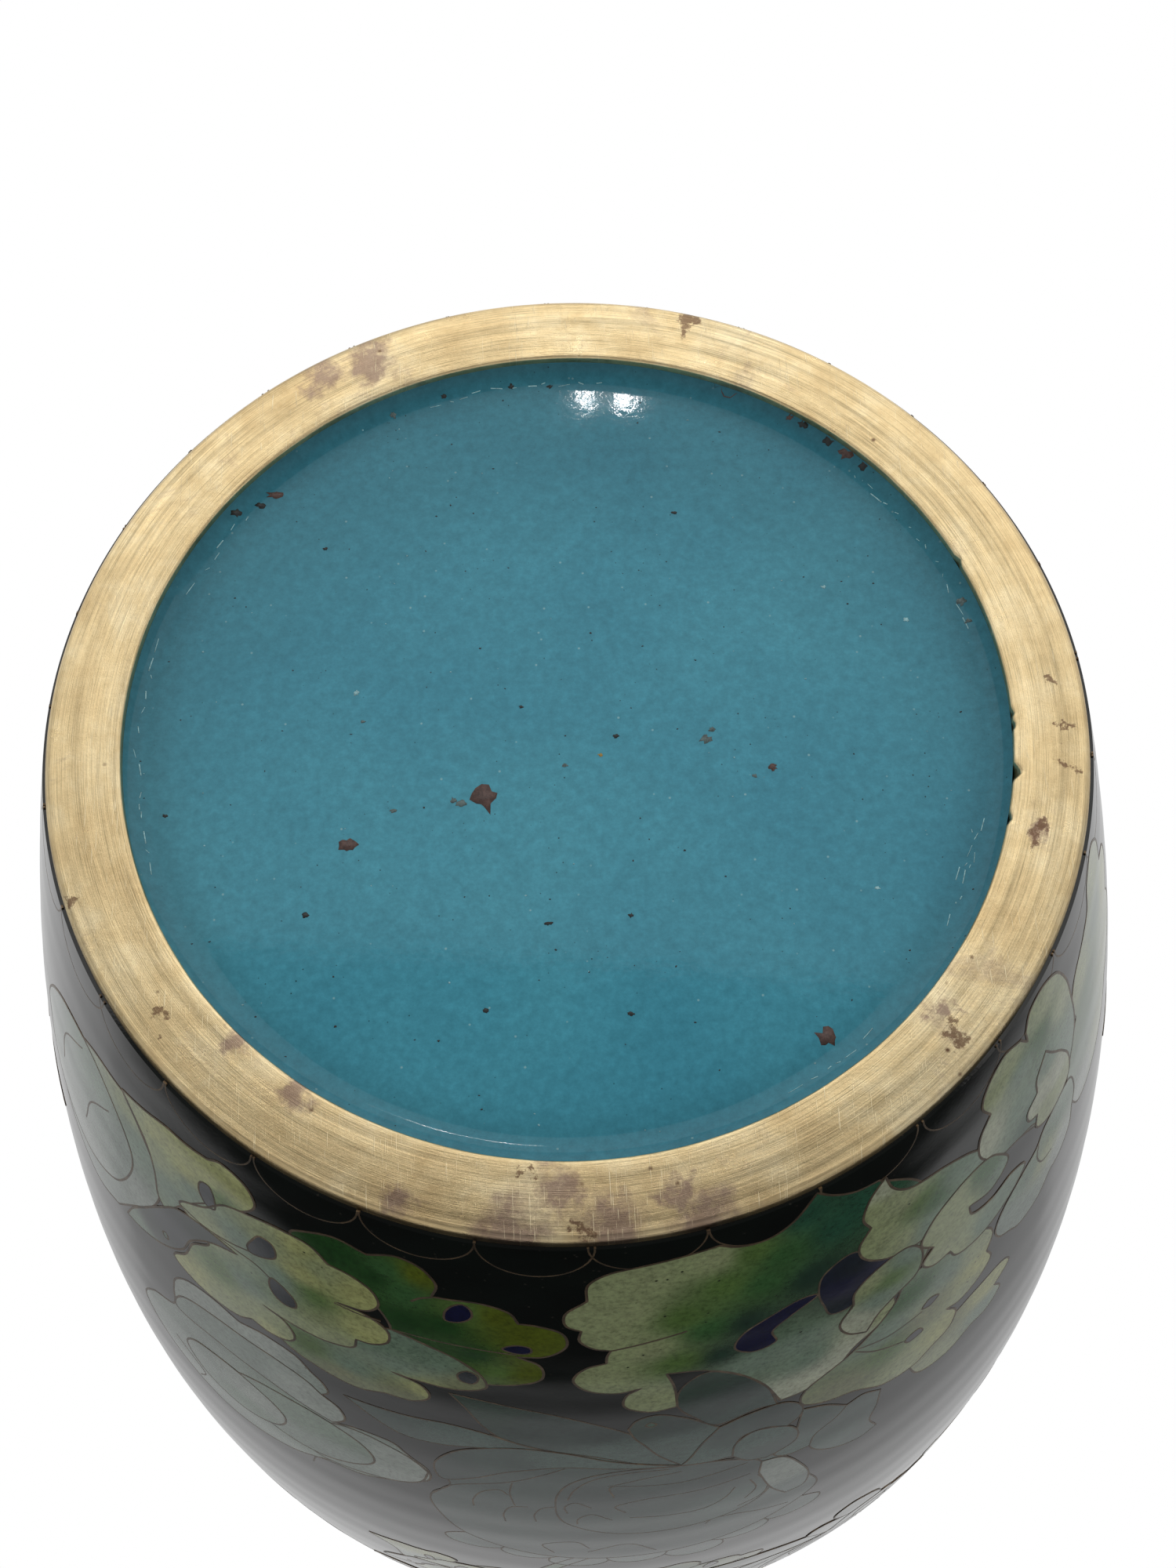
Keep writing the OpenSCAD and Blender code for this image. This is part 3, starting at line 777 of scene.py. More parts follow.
     {SLATE: [(34.8, 19.4)]}),
    # The pointed leaf at the side.
    ("leaf", 4, [(39.4, 15.8), (36.9, 13.6), (35.6, 10.6), (37, 7.8), (40, 7), (41.9, 8.4, 1), (44.6, 9.2),
     (48, 9.8), (51.2, 11.4), (55.3, 13.4, 1), (52.6, 16.2), (50.8, 19), (49.7, 23), (49, 29), (48, 30),
     (45.6, 25.2), (42, 20)],
     {LIME: [(38, 10), (42, 12), (47, 12), (45, 15), (50, 14)], PALE: [(53, 13.6), (49, 17)],
      MIST: [(44, 19), (47, 24)], MOSS: [(40, 15)]}),
    ("spot", 5, [(40.8, 18.4), (41.8, 18.9), (42.9, 17), (42.7, 14.6), (41.6, 14), (40.9, 15.8)],
     {SLATE: [(41.8, 16.4)]}),
    # The long dark blade beside it.
    ("leaf", 6, [(37.9, 25.2, 1), (41.2, 27.4), (44.2, 31.8), (45.6, 36.8), (48.4, 41.4), (52, 45),
     (55.2, 47, 1), (53.8, 42), (51.5, 36.8), (48.7, 31), (46, 26.8), (42, 25)],
     {SLATE: [(47, 35)], ASH: [(42, 27), (50, 40)], MIST: [(53, 44)]}),
    # Broad petals of the flower round the side.
    ("blossom", 3, [(49.4, 23), (49, 29), (50.6, 35), (53.6, 41), (57, 48.6, 1), (62, 52), (70, 46),
     (72, 34), (68, 22), (61.6, 15.4), (55.3, 13.8, 1), (52.4, 17)],
     {MIST: [(52, 22), (64, 24)], PEARL: [(53, 36)], CELADON: [(60, 44), (58, 30)], PALE: [(54, 15)]}),
    ("blossom", 4, [(53.6, 27), (54.4, 34), (58, 42.4), (64, 47), (72, 44), (76, 32), (70, 20), (62, 17),
     (56.4, 21)],
     {CELADON: [(56, 30), (70, 28)], PEARL: [(66, 42)], MIST: [(62, 20)]}),
    # The white flower with rounded edges.
    ("blossom", 1, [(28.4, 48), (29.6, 46.4, 1), (31.4, 43.8), (35, 43.2), (38.2, 44.8, 1), (41.6, 44.2),
     (45, 45.8), (47.2, 49.4), (47.8, 54), (48.2, 60.4), (52, 66), (54, 74), (50, 82), (42, 86.6), (34, 84),
     (29, 79), (25, 77.6), (21.6, 74.4), (20, 72.2, 1), (17.8, 70), (17.6, 65.6), (19.6, 61.6, 1),
     (21.2, 58.8), (24.6, 58.6), (27.6, 60.2, 1), (26.4, 57.6), (26.8, 54), (28.6, 52.2, 1), (27.8, 50.4)],
     {PEARL: [(36, 46), (44, 48), (20, 67)], CELADON: [(38, 54), (30, 56), (23, 60), (44, 62), (40, 72),
      (48, 76), (25, 74)], MIST: [(33, 62), (30, 72)]}),
    ("blossom", 2, [(28.6, 52.2, 1), (30.4, 50), (34, 48.8), (37.7, 49, 1), (41, 49.6), (44.6, 51.6),
     (47, 55), (47.6, 60), (42, 58.4), (36, 58.2), (31, 59.4), (27.6, 60.4, 1), (26.2, 57.4), (26.8, 54)],
     {PEARL: [(30, 55)], CELADON: [(38, 53), (45, 56)]}),
    ("blossom", 2, [(28.2, 61.6, 1), (26.4, 59.9), (23.8, 59.6), (21.1, 61), (19.6, 62.3, 1), (18.4, 64.4),
     (17.6, 66.4, 1), (18.4, 70.8), (20.1, 73.4), (24, 76), (30, 78), (33, 73), (31, 67)],
     {PEARL: [(21, 64), (20, 70)], CELADON: [(26, 63), (28, 74)]}),
    ("blossom", 3, [(24, 65.6), (26, 62.6), (30, 60.6), (36, 61.8), (40, 66), (40, 72), (36, 77), (30, 77.4),
     (25.4, 73.6), (23.4, 69.4)],
     {MIST: [(28, 64), (33, 67)], CELADON: [(36, 70), (27, 72)]}),
    ("blossom", 4, [(33.6, 70), (35.6, 66.4), (40, 64.6), (45, 67), (47, 72.4), (44.6, 78), (39.6, 79.6),
     (35, 76)],
     {PEARL: [(38, 69)], CELADON: [(44, 72)], MIST: [(39, 76)]}),
    # The chrysanthemum: long petals that meet near (-8, 59), then the scallops of its far side.
    ("petal", 1, [(-15.5, 47.4), (-17.6, 48.2, 1), (-16.4, 41), (-13.6, 35.4), (-10.6, 32.6), (-8.2, 35),
     (-7.5, 40), (-9.2, 44.8), (-11.4, 48.6)],
     {DUSK: [(-13, 42)], PINE: [(-10, 36)], HAZE: [(-15, 46)]}),
    ("petal", 2, [(-7.7, 59.7, 1), (-5.5, 55), (-4.1, 50.7), (-3.2, 48.2), (-2.6, 45.1, 1), (-3.6, 42.6),
     (-5.4, 41.8), (-8.2, 44.1), (-11.6, 49.6, 1), (-9.9, 53.4), (-8.5, 57.9)],
     {DUSK: [(-7, 46)], MINT: [(-8, 52)], PINE: [(-4, 44)]}),
    ("petal", 1, [(14.8, 37.2, 1), (10.4, 38), (3.5, 40.7), (-3.2, 47.4), (-5.5, 55), (-7.7, 59.7, 1),
     (-3.1, 56.6), (0.2, 54.8), (4, 52.3), (6.5, 50.9), (9.5, 48.9), (11.5, 45.6), (13.4, 40.2)],
     {DUSK: [(6, 44), (0, 47)], PINE: [(11, 41)], MINT: [(-1, 51)]}),
    ("petal", 2, [(26, 48.6, 1), (19.2, 47.6), (15.2, 46.8), (11.6, 47.6), (7.8, 50), (4, 52.3),
     (0.2, 54.8, 1), (6.3, 52.8), (10.6, 52.2), (12.7, 52.8), (16.2, 54.2), (20, 54.4)],
     {MINT: [(14, 50)], HAZE: [(21, 50), (6, 52)]}),
    ("petal", 3, [(-28.9, 75.4, 1), (-28, 71), (-28.8, 66.5), (-29.2, 61.8, 1), (-27, 59.3),
     (-25.2, 59.8, 1), (-24, 62.1), (-21.7, 64.6), (-21, 67.6), (-21.8, 71.1), (-24.2, 74.8), (-27, 76.4)],
     {HAZE: [(-26, 66), (-28, 73)], MINT: [(-24, 71)]}),
    ("petal", 4, [(-20.3, 53.5, 1), (-22.8, 55.8), (-25.2, 59.8, 1), (-24, 62.1), (-21.7, 64.6),
     (-21, 68.1, 1), (-18.6, 67.9), (-17.2, 65.8), (-19.4, 63.4), (-19.7, 58.9)],
     {HAZE: [(-22, 60)], MINT: [(-20, 66)]}),
    ("petal", 4, [(-11.6, 49.6, 1), (-14.5, 48.2), (-18, 48.4), (-19.8, 50.7), (-20.3, 53.5), (-19.7, 55.6),
     (-18.5, 56.8, 1), (-16.3, 54.5), (-14.1, 54.7), (-13.1, 57.3), (-12.8, 60.8, 1), (-10.4, 60.6),
     (-7.7, 59.7, 1), (-8.5, 57.9), (-9.9, 53.4)],
     {DUSK: [(-17, 51)], HAZE: [(-12, 54)], MINT: [(-10, 58)]}),
    ("petal", 5, [(-12.8, 60.8, 1), (-13.3, 56.6), (-15.2, 54.5), (-18.5, 56.8), (-19.7, 59.9),
     (-19.4, 63.4), (-17.7, 65), (-16.3, 65.6, 1), (-14.4, 64.2)],
     {MINT: [(-16, 58)], HAZE: [(-17, 63)]}),
    ("petal", 3, [(17.6, 79), (17.4, 74.5), (15.4, 68.6), (16.6, 62.4), (12, 58), (3.8, 56.4), (-1.3, 57.6),
     (-7.7, 59.7, 1), (-13, 62), (-17.4, 66), (-20.4, 75.4), (-21.1, 80.5), (-22, 88), (-16, 96), (-6, 100),
     (6, 99), (14, 92)],
     {HAZE: [(8, 68), (-10, 66), (12, 82), (-16, 88)], MINT: [(-16, 76)], DUSK: [(0, 74), (-4, 90)]}),
    ("petal", 4, [(16.1, 67), (16.9, 62.4), (15.6, 57.4), (13.3, 53.9), (8.3, 51.2), (3.7, 52.1),
     (-1.3, 55.6), (-7.7, 59.7, 1), (-1.3, 57.9), (3.8, 56.9), (9.2, 59.7), (13, 64.3)],
     {HAZE: [(11, 57)], MINT: [(2, 55)], DUSK: [(14, 63)]}),
    ("petal", 5, [(-15.9, 66.7, 1), (-18, 67.8), (-20.4, 75.4), (-21.1, 80.5), (-20.4, 84.9),
     (-18.6, 85.2, 1), (-17, 79.8), (-15.6, 70.9, 1)],
     {PEARL: [(-18.6, 76)], MINT: [(-19, 82)]}),
    ("petal", 4, [(4.9, 70.4), (4.2, 65.3), (2.9, 62.2), (0.8, 59.9), (-2.6, 58.8), (-7.7, 59.9, 1),
     (-11.6, 61.4), (-15.4, 65.4), (-16.4, 70), (-17, 78), (-14.6, 84), (-9, 87), (-1, 86), (4, 80)],
     {HAZE: [(-6, 63), (-4, 80)], DUSK: [(-12, 70), (0, 70)], MINT: [(-14, 78)]}),
    # Small spots on the leaves and between the petals.
    ("spot", 3, [(-34.4, 51.6), (-32.6, 51.8), (-32.2, 50.4), (-33.8, 49.8)],
     {SLATE: [(-33, 51)]}),
    ("spot", 3, [(-36.6, 44.4), (-35.4, 45.4), (-34.4, 44.6), (-35.4, 43.2)],
     {SLATE: [(-35.4, 44.4)]}),
    ("spot", 2, [(-5.4, 44.6), (-4.9, 45.2), (-4.3, 44.6), (-4.8, 43.8)],
     {TEAL: [(-5, 44.4)]}),
    ("spot", 6, [(47.8, 38.4), (48.3, 38.8), (48.7, 38), (48.2, 37.2)],
     {TEAL: [(48.2, 37.8)]}),
]

# Wires inside the cells, by kind, level and width.
VEINS = {
    ("leaf", 1, 0.34): [[(-1.3, 23.3), (-4.6, 22.3), (-8.8, 21.1)]],
    ("leaf", 2, 0.26): [[(7.9, 24.4), (14, 24.1), (20.3, 24.2)]],
    ("leaf", 2, 0.34): [[(16.1, 14.1), (17.4, 15), (18.3, 16.2)]],
    ("leaf", 3, 0.28): [
        [(11.7, 30.4), (14, 27.6), (17, 25.6), (20.4, 24.4)],
        [(-55.6, 42.6), (-53.6, 41.4), (-52.6, 38), (-53, 35.4)],
    ],
    ("leaf", 5, 0.3): [
        [(21.5, 23.1), (24, 23.3), (26.5, 23.1)],
        [(33.8, 25.6), (35.6, 24.4), (38, 24.3), (41, 24.5)],
    ],
    ("leaf", 5, 0.28): [[(36.4, 22.2), (39, 23.6), (42.6, 24.8), (45.6, 24.8)]],
    ("leaf", 4, 0.28): [
        [(42, 18.6), (43.4, 20.8), (45.6, 24.6)],
        [(-49.5, 26), (-52, 27.6), (-53.6, 30.2)],
    ],
    ("leaf", 1, 0.28): [[(-31.1, 34.2), (-29.4, 34.8), (-28.2, 37), (-27.5, 39.4)]],
    ("leaf", 2, 0.28): [
        [(-26.2, 43.6), (-28.4, 47), (-32, 50.4)],
        [(-26.4, 43.2), (-30, 45.2), (-34.4, 45.4)],
    ],
    ("petal", 3, 0.24): [
        [(13.2, 76.2), (13.2, 73.3), (12.1, 69), (10.4, 67.4), (9.6, 69.1)],
        [(9.1, 64.1), (9.4, 68), (9, 73.4)],
        [(10.1, 81.4), (10.2, 77.6), (9.3, 74.1), (7.7, 73.4)],
        [(7, 79.9), (7.1, 76.7), (6.1, 73.4), (4.6, 72.5)],
        [(17.3, 74.5), (15, 68.6), (9.3, 63.7), (3.8, 57.3)],
        [(5.5, 96.8), (6.5, 92), (3.3, 90), (1.8, 94)],
        [(-5, 98), (-2, 92.4), (2, 96)],
        [(-10.1, 88), (-10.9, 86.4), (-13.1, 87), (-16, 89.4), (-19, 91.4)],
    ],
    ("petal", 4, 0.24): [
        [(3.7, 69.6), (2.9, 65.3), (0.8, 61.3), (-2.6, 59.8), (-6.4, 60.3)],
        [(3.8, 75.4), (4, 72.5), (3, 70.7), (1.4, 73)],
        [(2.9, 80.4), (2.7, 77.8), (1.4, 76), (-0.6, 79)],
        [(-13.1, 74), (-12, 77.4), (-9.8, 79.8), (-6.3, 79.7), (-2.4, 78.4)],
        [(-14.4, 65.2), (-11.7, 65.7), (-7.7, 66.3), (-3.8, 65.4), (-0.7, 64.7), (-0.9, 69)],
        [(-7.7, 62), (-4, 62.6), (-0.4, 64.4)],
        [(-14.7, 70), (-10, 71), (-4, 71), (-1, 73), (-2, 76)],
        [(-14.7, 72.7), (-15.3, 77.1), (-14.2, 80.4)],
        [(-15.5, 71.6), (-16.6, 77), (-15.8, 81.4), (-13.4, 83.4)],
    ],
    ("petal", 2, 0.24): [[(-3.1, 56.6), (1, 53.2), (6.5, 50.6), (11, 47.6)]],
    ("blossom", 1, 0.28): [
        [(31, 84), (30.2, 80), (25.4, 75.6)],
        [(46, 84), (45, 80), (49, 75)],
    ],
    ("blossom", 4, 0.28): [
        [(58, 24), (62, 30), (63.6, 38)],
        [(64, 20), (69, 27), (70, 36)],
    ],
}


def ray_petals(centre=(-3, 77), reach=29.5, half=3.4):
    """The petals that stand up behind the chrysanthemum, above the edge of the picture."""
    entries = []
    for k, turn in enumerate(np.radians(np.arange(45, 136, 15))):
        along, across = np.array([np.cos(turn), np.sin(turn)]), np.array([-np.sin(turn), np.cos(turn)])

        def at(out, side=0.0):
            return tuple(centre + (along * out + across * side) / UNROLL)

        tip = reach - 2 * (k % 2)
        points = [(*at(16, -half * 0.5), 1), at(tip - 7, -half), at(tip - 1.5, -half * 0.8), at(tip),
                  at(tip - 1.5, half * 0.8), at(tip - 7, half), (*at(16, half * 0.5), 1)]
        entries.append(("petal", 1 + k % 2, points, {MINT: [at(tip)], HAZE: [at(tip - 5)], DUSK: [at(20)]}))
    return entries


LAYERS = {kind: (Layer(), Layer()) for kind in ("leaf", "spot", "petal", "blossom")}
EDGE_WIRE = {"leaf": 0.33, "spot": 0.27, "petal": 0.27, "blossom": 0.33}


def draw(entries, veins, move=None, raise_by=0):
    """Adds cells and veins to the layers of their kinds. The wires of the spots go with the leaves'."""
    for kind, level, points, dabs in entries:
        cells, wires = LAYERS[kind]
        if kind == "spot":
            wires = LAYERS["leaf"][1]
        cell(cells, wires, points, dabs, level + raise_by, EDGE_WIRE[kind], move)
    for kind, level, width, points in veins:
        wire(LAYERS[kind][1], points, level + raise_by, width, move)


CELLS = SPRAY + ray_petals()
VEIN_LIST = [(*key, line) for key, lines in VEINS.items() for line in lines]
draw(CELLS, VEIN_LIST)
draw(CELLS, VEIN_LIST, turned_by(180.0))


def cluster(low, high, kinds):
    """The cells and veins of some kinds between two angles, and the middle of the place they come from."""
    def within(kind, points):
        return kind in kinds and all(low <= p[0] <= high for p in points)

    entries = [e for e in CELLS if within(e[0], e[2])]
    points = np.array([p[:2] for e in entries for p in e[2]])
    return entries, [v for v in VEIN_LIST if within(v[0], v[3])], (points.min(0) + points.max(0)) / 2


CURLED_LEAVES = cluster(-64, -19, ("leaf", "spot"))
CHRYSANTHEMUM = cluster(-30, 27, ("petal",))
LOBED_LEAVES = cluster(2, 56, ("leaf", "spot"))
DARK_LEAF = cluster(2, 31.5, ("leaf", "spot"))
WHITE_FLOWER = cluster(2, 56, ("blossom",))

# A branch is a list of stems and a list of what they carry: the cluster, its place beside the branch's angle,
# its size and how far it is raised.
HIGH_BRANCH = (
    ([(1, 96), (7, 112), (6, 128), (-2, 146), (-1, 166), (6, 184), (4, 203)],
     [(-2, 148), (-14, 172), (-29, 184), (-42, 198)], [(2, 140), (20, 147), (40, 155), (44, 176)],
     [(-2, 148), (-20, 152), (-36, 142), (-47, 150)]),
    ((LOBED_LEAVES, 13, 125, 0.62, 0), (DARK_LEAF, -9, 121, 0.7, 0), (CHRYSANTHEMUM, -22, 146, 0.72, 6),
     (WHITE_FLOWER, 20, 160, 0.78, 6), (CURLED_LEAVES, -2, 180, 0.6, 0), (DARK_LEAF, 21, 188, 0.55, 0),
     (WHITE_FLOWER, 3, 203, 0.42, 6), (CURLED_LEAVES, -47, 150, 0.66, 0), (DARK_LEAF, -28, 182, 0.6, 0),
     (WHITE_FLOWER, -41, 197, 0.5, 6), (DARK_LEAF, 40, 151, 0.65, 0), (DARK_LEAF, 43, 178, 0.55, 0)))
LOW_BRANCH = (
    ([(2, 8), (-4, 28), (-2, 52), (6, 84), (7, 108), (-3, 134), (-3, 160), (5, 184), (2, 202)],
     [(-3, 134), (-18, 142), (-36, 154)]),
    ((DARK_LEAF, -7, 34, 0.8, 6), (CHRYSANTHEMUM, 1, 76, 0.7, 6), (LOBED_LEAVES, -14, 114, 0.8, 0),
     (WHITE_FLOWER, 18, 122, 0.9, 6), (CURLED_LEAVES, 4, 158, 0.75, 0), (CHRYSANTHEMUM, -16, 184, 0.5, 6),
     (DARK_LEAF, 22, 170, 0.6, 0), (DARK_LEAF, 12, 198, 0.45, 0), (DARK_LEAF, -22, 152, 0.6, 0),
     (WHITE_FLOWER, -38, 153, 0.62, 6)))


def stem(path, width=1.7):
    """A stem: a band of green along a path, under the leaves and flowers."""
    flat = np.array(path, float) * UNROLL
    side = np.gradient(flat, axis=0)[:, ::-1] * [-1, 1]
    side *= width / 2 / np.linalg.norm(side, axis=1, keepdims=True)
    ends = (0, len(path) - 1)
    points = [(*q, 1) if i in ends else tuple(q)
              for row in (flat + side, (flat - side)[::-1]) for i, q in enumerate(row / UNROLL)]
    cell(*LAYERS["leaf"], points, {OLIVE: path[::2], GREEN: path[1::2]}, level=0.5, width=0.3)


def branch(turn, hand, parts):
    """A stem with its leaves and flowers, turned about the axis. hand is 1, or -1 for a mirrored branch."""
    stems, carried = parts
    for path in stems:
        stem([(turn + hand * a, z) for a, z in path])
    for (entries, veins, source), a, z, size, raised in carried:
        draw(entries, veins, placed(source, (turn + hand * a, z), size, hand), raised)


branch(0, 1, HIGH_BRANCH)
branch(94, -1, LOW_BRANCH)
branch(180, -1, HIGH_BRANCH)
branch(-96, 1, LOW_BRANCH)

LAYERS["leaf"][0].piece("leaf_cells", LEAF, "green_enamel", ("leaf_enamel",))
LAYERS["leaf"][1].piece("leaf_wirework", WIRE, "wire", ("leaf_wires",), False)
LAYERS["spot"][0].piece("spot_cells", SPOT, "navy_enamel", ("leaf_spots",))
LAYERS["petal"][0].piece("chrysanthemum_cells", PETAL, "celadon_enamel", ("chrysanthemum_enamel",))
LAYERS["petal"][1].piece("chrysanthemum_wirework", WIRE, "wire", ("chrysanthemum_wires",), False)
LAYERS["blossom"][0].piece("blossom_cells", BLOSSOM, "pearl_enamel", ("peony_enamel",))
LAYERS["blossom"][1].piece("blossom_wirework", WIRE, "wire", ("peony_wires",), False)


# ---------------------------------------------------------------- black ground

def ground(name, low, high, replaces):
    """The black enamel between two heights, as a shell of the enamel's thickness."""
    zs = np.linspace(low, high, max(8, int((high - low) / 1.5)))
    outer = [(float(radius(z)), z) for z in zs]
    inner = [(float(radius(z)) - ENAMEL_T, z) for z in zs[::-1]]
    verts, faces = revolve(outer + inner, 288)
    return mesh_piece(name, verts, faces, BLACK, replaces)


ground("lower_black_ground", GROUND_LOW, BELLY_Z, ("foot_ground", "lower_ground", "foot_scale_enamel"))
ground("upper_black_ground", BELLY_Z, NECK_SEAM_Z, ("upper_ground",))
ground("neck_black_ground", NECK_SEAM_Z, LIP_LOW, ("neck_ground", "lip_ground", "neck_scale_enamel"))


# ---------------------------------------------------------------- fish scales

def scale_row(wires, count, phase, base_z, height, span, direction=1, wobble=0.5):
    """A row of half-round scales. span is each one's width as a share of the spacing.

    direction is -1 for scales that hang down, and wobble is how far each may be off its place, in degrees.
    """
    step = 360 / count
    for i in range(count):
        middle = i * step + phase + RNG.uniform(-wobble, wobble)
        half = step / 2 * span
        tall = height * RNG.uniform(0.93, 1.06)
        t = np.linspace(0, math.pi, 25)
        path = np.stack([middle + half * np.cos(t), base_z + direction * tall * np.sin(t)], -1)
        wire_along(wires, path, False, 0.0, 0.22)


FOOT_SCALES = 30
NECK_SCALES = 20
SCALE_HEIGHT = 5.2
foot_wires = Layer()
scale_row(foot_wires, FOOT_SCALES, 6.0, GROUND_LOW - 0.3, SCALE_HEIGHT, 1.0)
foot_wires.piece("foot_scale_wirework", WIRE, "wire", ("foot_scale_wires",), False)

neck_wires = Layer()
scale_row(neck_wires, NECK_SCALES, 0, LIP_LOW, SCALE_HEIGHT, 1.0, -1, 0.3)
scale_row(neck_wires, NECK_SCALES, 360 / NECK_SCALES / 2, LIP_LOW, 1.4, 0.5, -1, 0.3)
around = np.arange(0, 360, 1.5)
for z in (LIP_LOW - 6.4, NECK_SEAM_Z + 3, NECK_SEAM_Z + 4.6):
    wire_along(neck_wires, np.stack([around, np.full_like(around, z)], -1), True, 0.0, 0.3)
neck_wires.piece("neck_wirework", WIRE, "wire", ("neck_scale_wires", "neck_border_wire"), False)


# ---------------------------------------------------------------- foot ring, lip and base

def wobble_rings(verts, amount, where):
    """Small dents: moves points by smooth random amounts around the axis."""
    angle = np.arctan2(verts[:, 0], -verts[:, 1])
    shift = np.zeros(len(verts))
    for k in range(3, 60, 4):
        shift += np.sin(k * angle + RNG.uniform(0, 6.28)) / k
    r = np.hypot(verts[:, 0], verts[:, 1])
    push = amount * MM * shift * where(r / MM, verts[:, 2] / MM)
    verts[:, 0] += push * verts[:, 0] / r
    verts[:, 1] += push * verts[:, 1] / r
    return verts


RING_TOP = height_range("foot_ring")[1]
COLLAR_R = FOOT_R - 3.0
INNER_ROUND = 0.35
OUTER_ROUND = 0.9
# The radii between which the ring still touches what it stands on.
TOUCH_LOW, TOUCH_HIGH = 50.2, 51.4


def worn_face(r):
    """Height of the face that the vase stands on, worn a little round on both sides of its middle."""
    inward, outward = max(0.0, TOUCH_LOW - r), max(0.0, r - TOUCH_HIGH)
    return 0.022 * inward ** 2 * 0.5 + 0.045 * outward ** 2 * 0.5


face_r = np.linspace(BASE_R + 0.5, FOOT_R - OUTER_ROUND - 0.1, 12)
ring_loop = (
    arc(BASE_R + INNER_ROUND, worn_face(BASE_R + 0.3) + INNER_ROUND, INNER_ROUND, 180, 262, 5)
    + [(float(r), worn_face(r)) for r in face_r]
    + arc(FOOT_R - OUTER_ROUND, OUTER_ROUND + 0.08, OUTER_ROUND - 0.05, 276, 360, 10)
    + [(FOOT_R, GROUND_LOW), (COLLAR_R, GROUND_LOW), (COLLAR_R, RING_TOP), (BASE_R, RING_TOP),
       (BASE_R, BASE_PLATE_Z), (BASE_R, 1.2)]
)
ring_verts, ring_faces = revolve(ring_loop, 720)
ring_verts = wobble_rings(ring_verts, 0.10, lambda r, z: (np.abs(r - BASE_R) < 0.5) * (z < 1.0))
ring_verts = wobble_rings(ring_verts, 0.05, lambda r, z: (np.abs(r - FOOT_R) < 1.0) * (z < 1.0))


def nick(verts, x, y, reach, depth):
    """A nick in the inner edge of the ring at a place given in mm."""
    gap = np.hypot(verts[:, 0] / MM - x, verts[:, 1] / MM - y)
    r = np.hypot(verts[:, 0], verts[:, 1])
    low = np.clip(1.6 - verts[:, 2] / MM, 0, 1) * np.clip(1 - gap / reach, 0, 1) * (r < (BASE_R + 1.2) * MM)
    scale = 1 + depth * MM * low / r
    verts[:, 0] *= scale
    verts[:, 1] *= scale
    return verts


for x, y, reach, depth in ((-46.3, -8.0, 1.1, 0.9), (-46.8, -2.6, 0.7, 0.35), (-46.9, -1.2, 0.6, 0.3),
                           (-43.4, 17.6, 0.7, 0.35), (-45.0, -13.2, 0.8, 0.4)):
    ring_verts = nick(ring_verts, x, y, reach, depth)
mesh_piece("foot_ring_turned", ring_verts, ring_faces, BRASS, ("foot_ring",))

LIP_ROUND = 2.0
lip_mid = half_width("mouth_rim") - LIP_ROUND
lip_loop = ([(lip_mid - LIP_ROUND, LIP_LOW), (lip_mid + LIP_ROUND, LIP_LOW)]
            + arc(lip_mid, LIP_HIGH - LIP_ROUND, LIP_ROUND, 0, 180, 16))
lip_verts, lip_faces = revolve(lip_loop, 360)
mesh_piece("mouth_rim_turned", lip_verts, lip_faces, RIM_BRASS, ("mouth_rim",))

BASE_EDGE_Z = 2.4


def base_height(r):
    """The base enamel's underside: lowest in the middle, and drawn up a little where it meets the ring."""
    u = np.asarray(r, float) / BASE_R
    meniscus = 1.3 * np.clip((u - 0.935) / 0.065, 0, 1) ** 2
    return BASE_EDGE_Z - (BASE_EDGE_Z - BASE_LOW_Z) * (1 - u * u) - meniscus


base_r = np.concatenate([np.linspace(0.4, BASE_R * 0.93, 60), np.linspace(BASE_R * 0.935, BASE_R, 18)])
base_loop = [(float(r), float(base_height(r))) for r in base_r]
top = [(BASE_R * k, BASE_PLATE_Z) for k in (1, 0.75, 0.5, 0.25)] + [(0.4, BASE_PLATE_Z)]
BASE_SEGMENTS = 256
base_verts, base_faces = revolve(base_loop + top, BASE_SEGMENTS)
n_loop = len(base_loop) + len(top)
lower_cap = [i * n_loop for i in range(BASE_SEGMENTS)]
upper_cap = [i + n_loop - 1 for i in lower_cap]
# The loop isn't closed along the axis: a cap closes each end there.
base_faces = [f for f in base_faces if f[0] % n_loop != n_loop - 1]
base_faces += [tuple(lower_cap), tuple(reversed(upper_cap))]
mesh_piece("base_enamel_lens", base_verts, base_faces, BASE, ("base_enamel",))

# Chips, burst bubbles and specks in the base: place from the axis, size and colour.
RUST = (84, 62, 56)
STAIN = (86, 104, 104)
GOLD = (170, 140, 70)
DARK = (30, 36, 36)
BRIGHT = (130, 178, 186)
PALE_BLUE = (150, 196, 202)
chips = Layer()


def chip(x, y, size, colour, points=14):
    """An irregular flake of another colour, a hair proud of the enamel so that it shows."""
    t = np.arange(points) * 2 * math.pi / points
    wob = 1 + 0.28 * RNG.standard_normal(points).clip(-1.5, 1.5)
    px, py = x + size * wob * np.cos(t), y + size * wob * np.sin(t) * RNG.uniform(0.6, 1.0)
    px, py = np.append(px, x), np.append(py, y)
    z = base_height(np.hypot(px, py)) - 0.02
    low = np.stack([px, py, z], -1) * MM
    high = np.stack([px, py, z + 0.1], -1) * MM
    n = points + 1
    faces = []
    for k in range(points):
        m = (k + 1) % points
        faces += [(k, m, points), (m + n, k + n, points + n), (m, k, k + n, m + n)]
    tint = np.tile(linear(*colour), (2 * n, 1))
    chips.add(np.concatenate([low, high]), faces, tint)


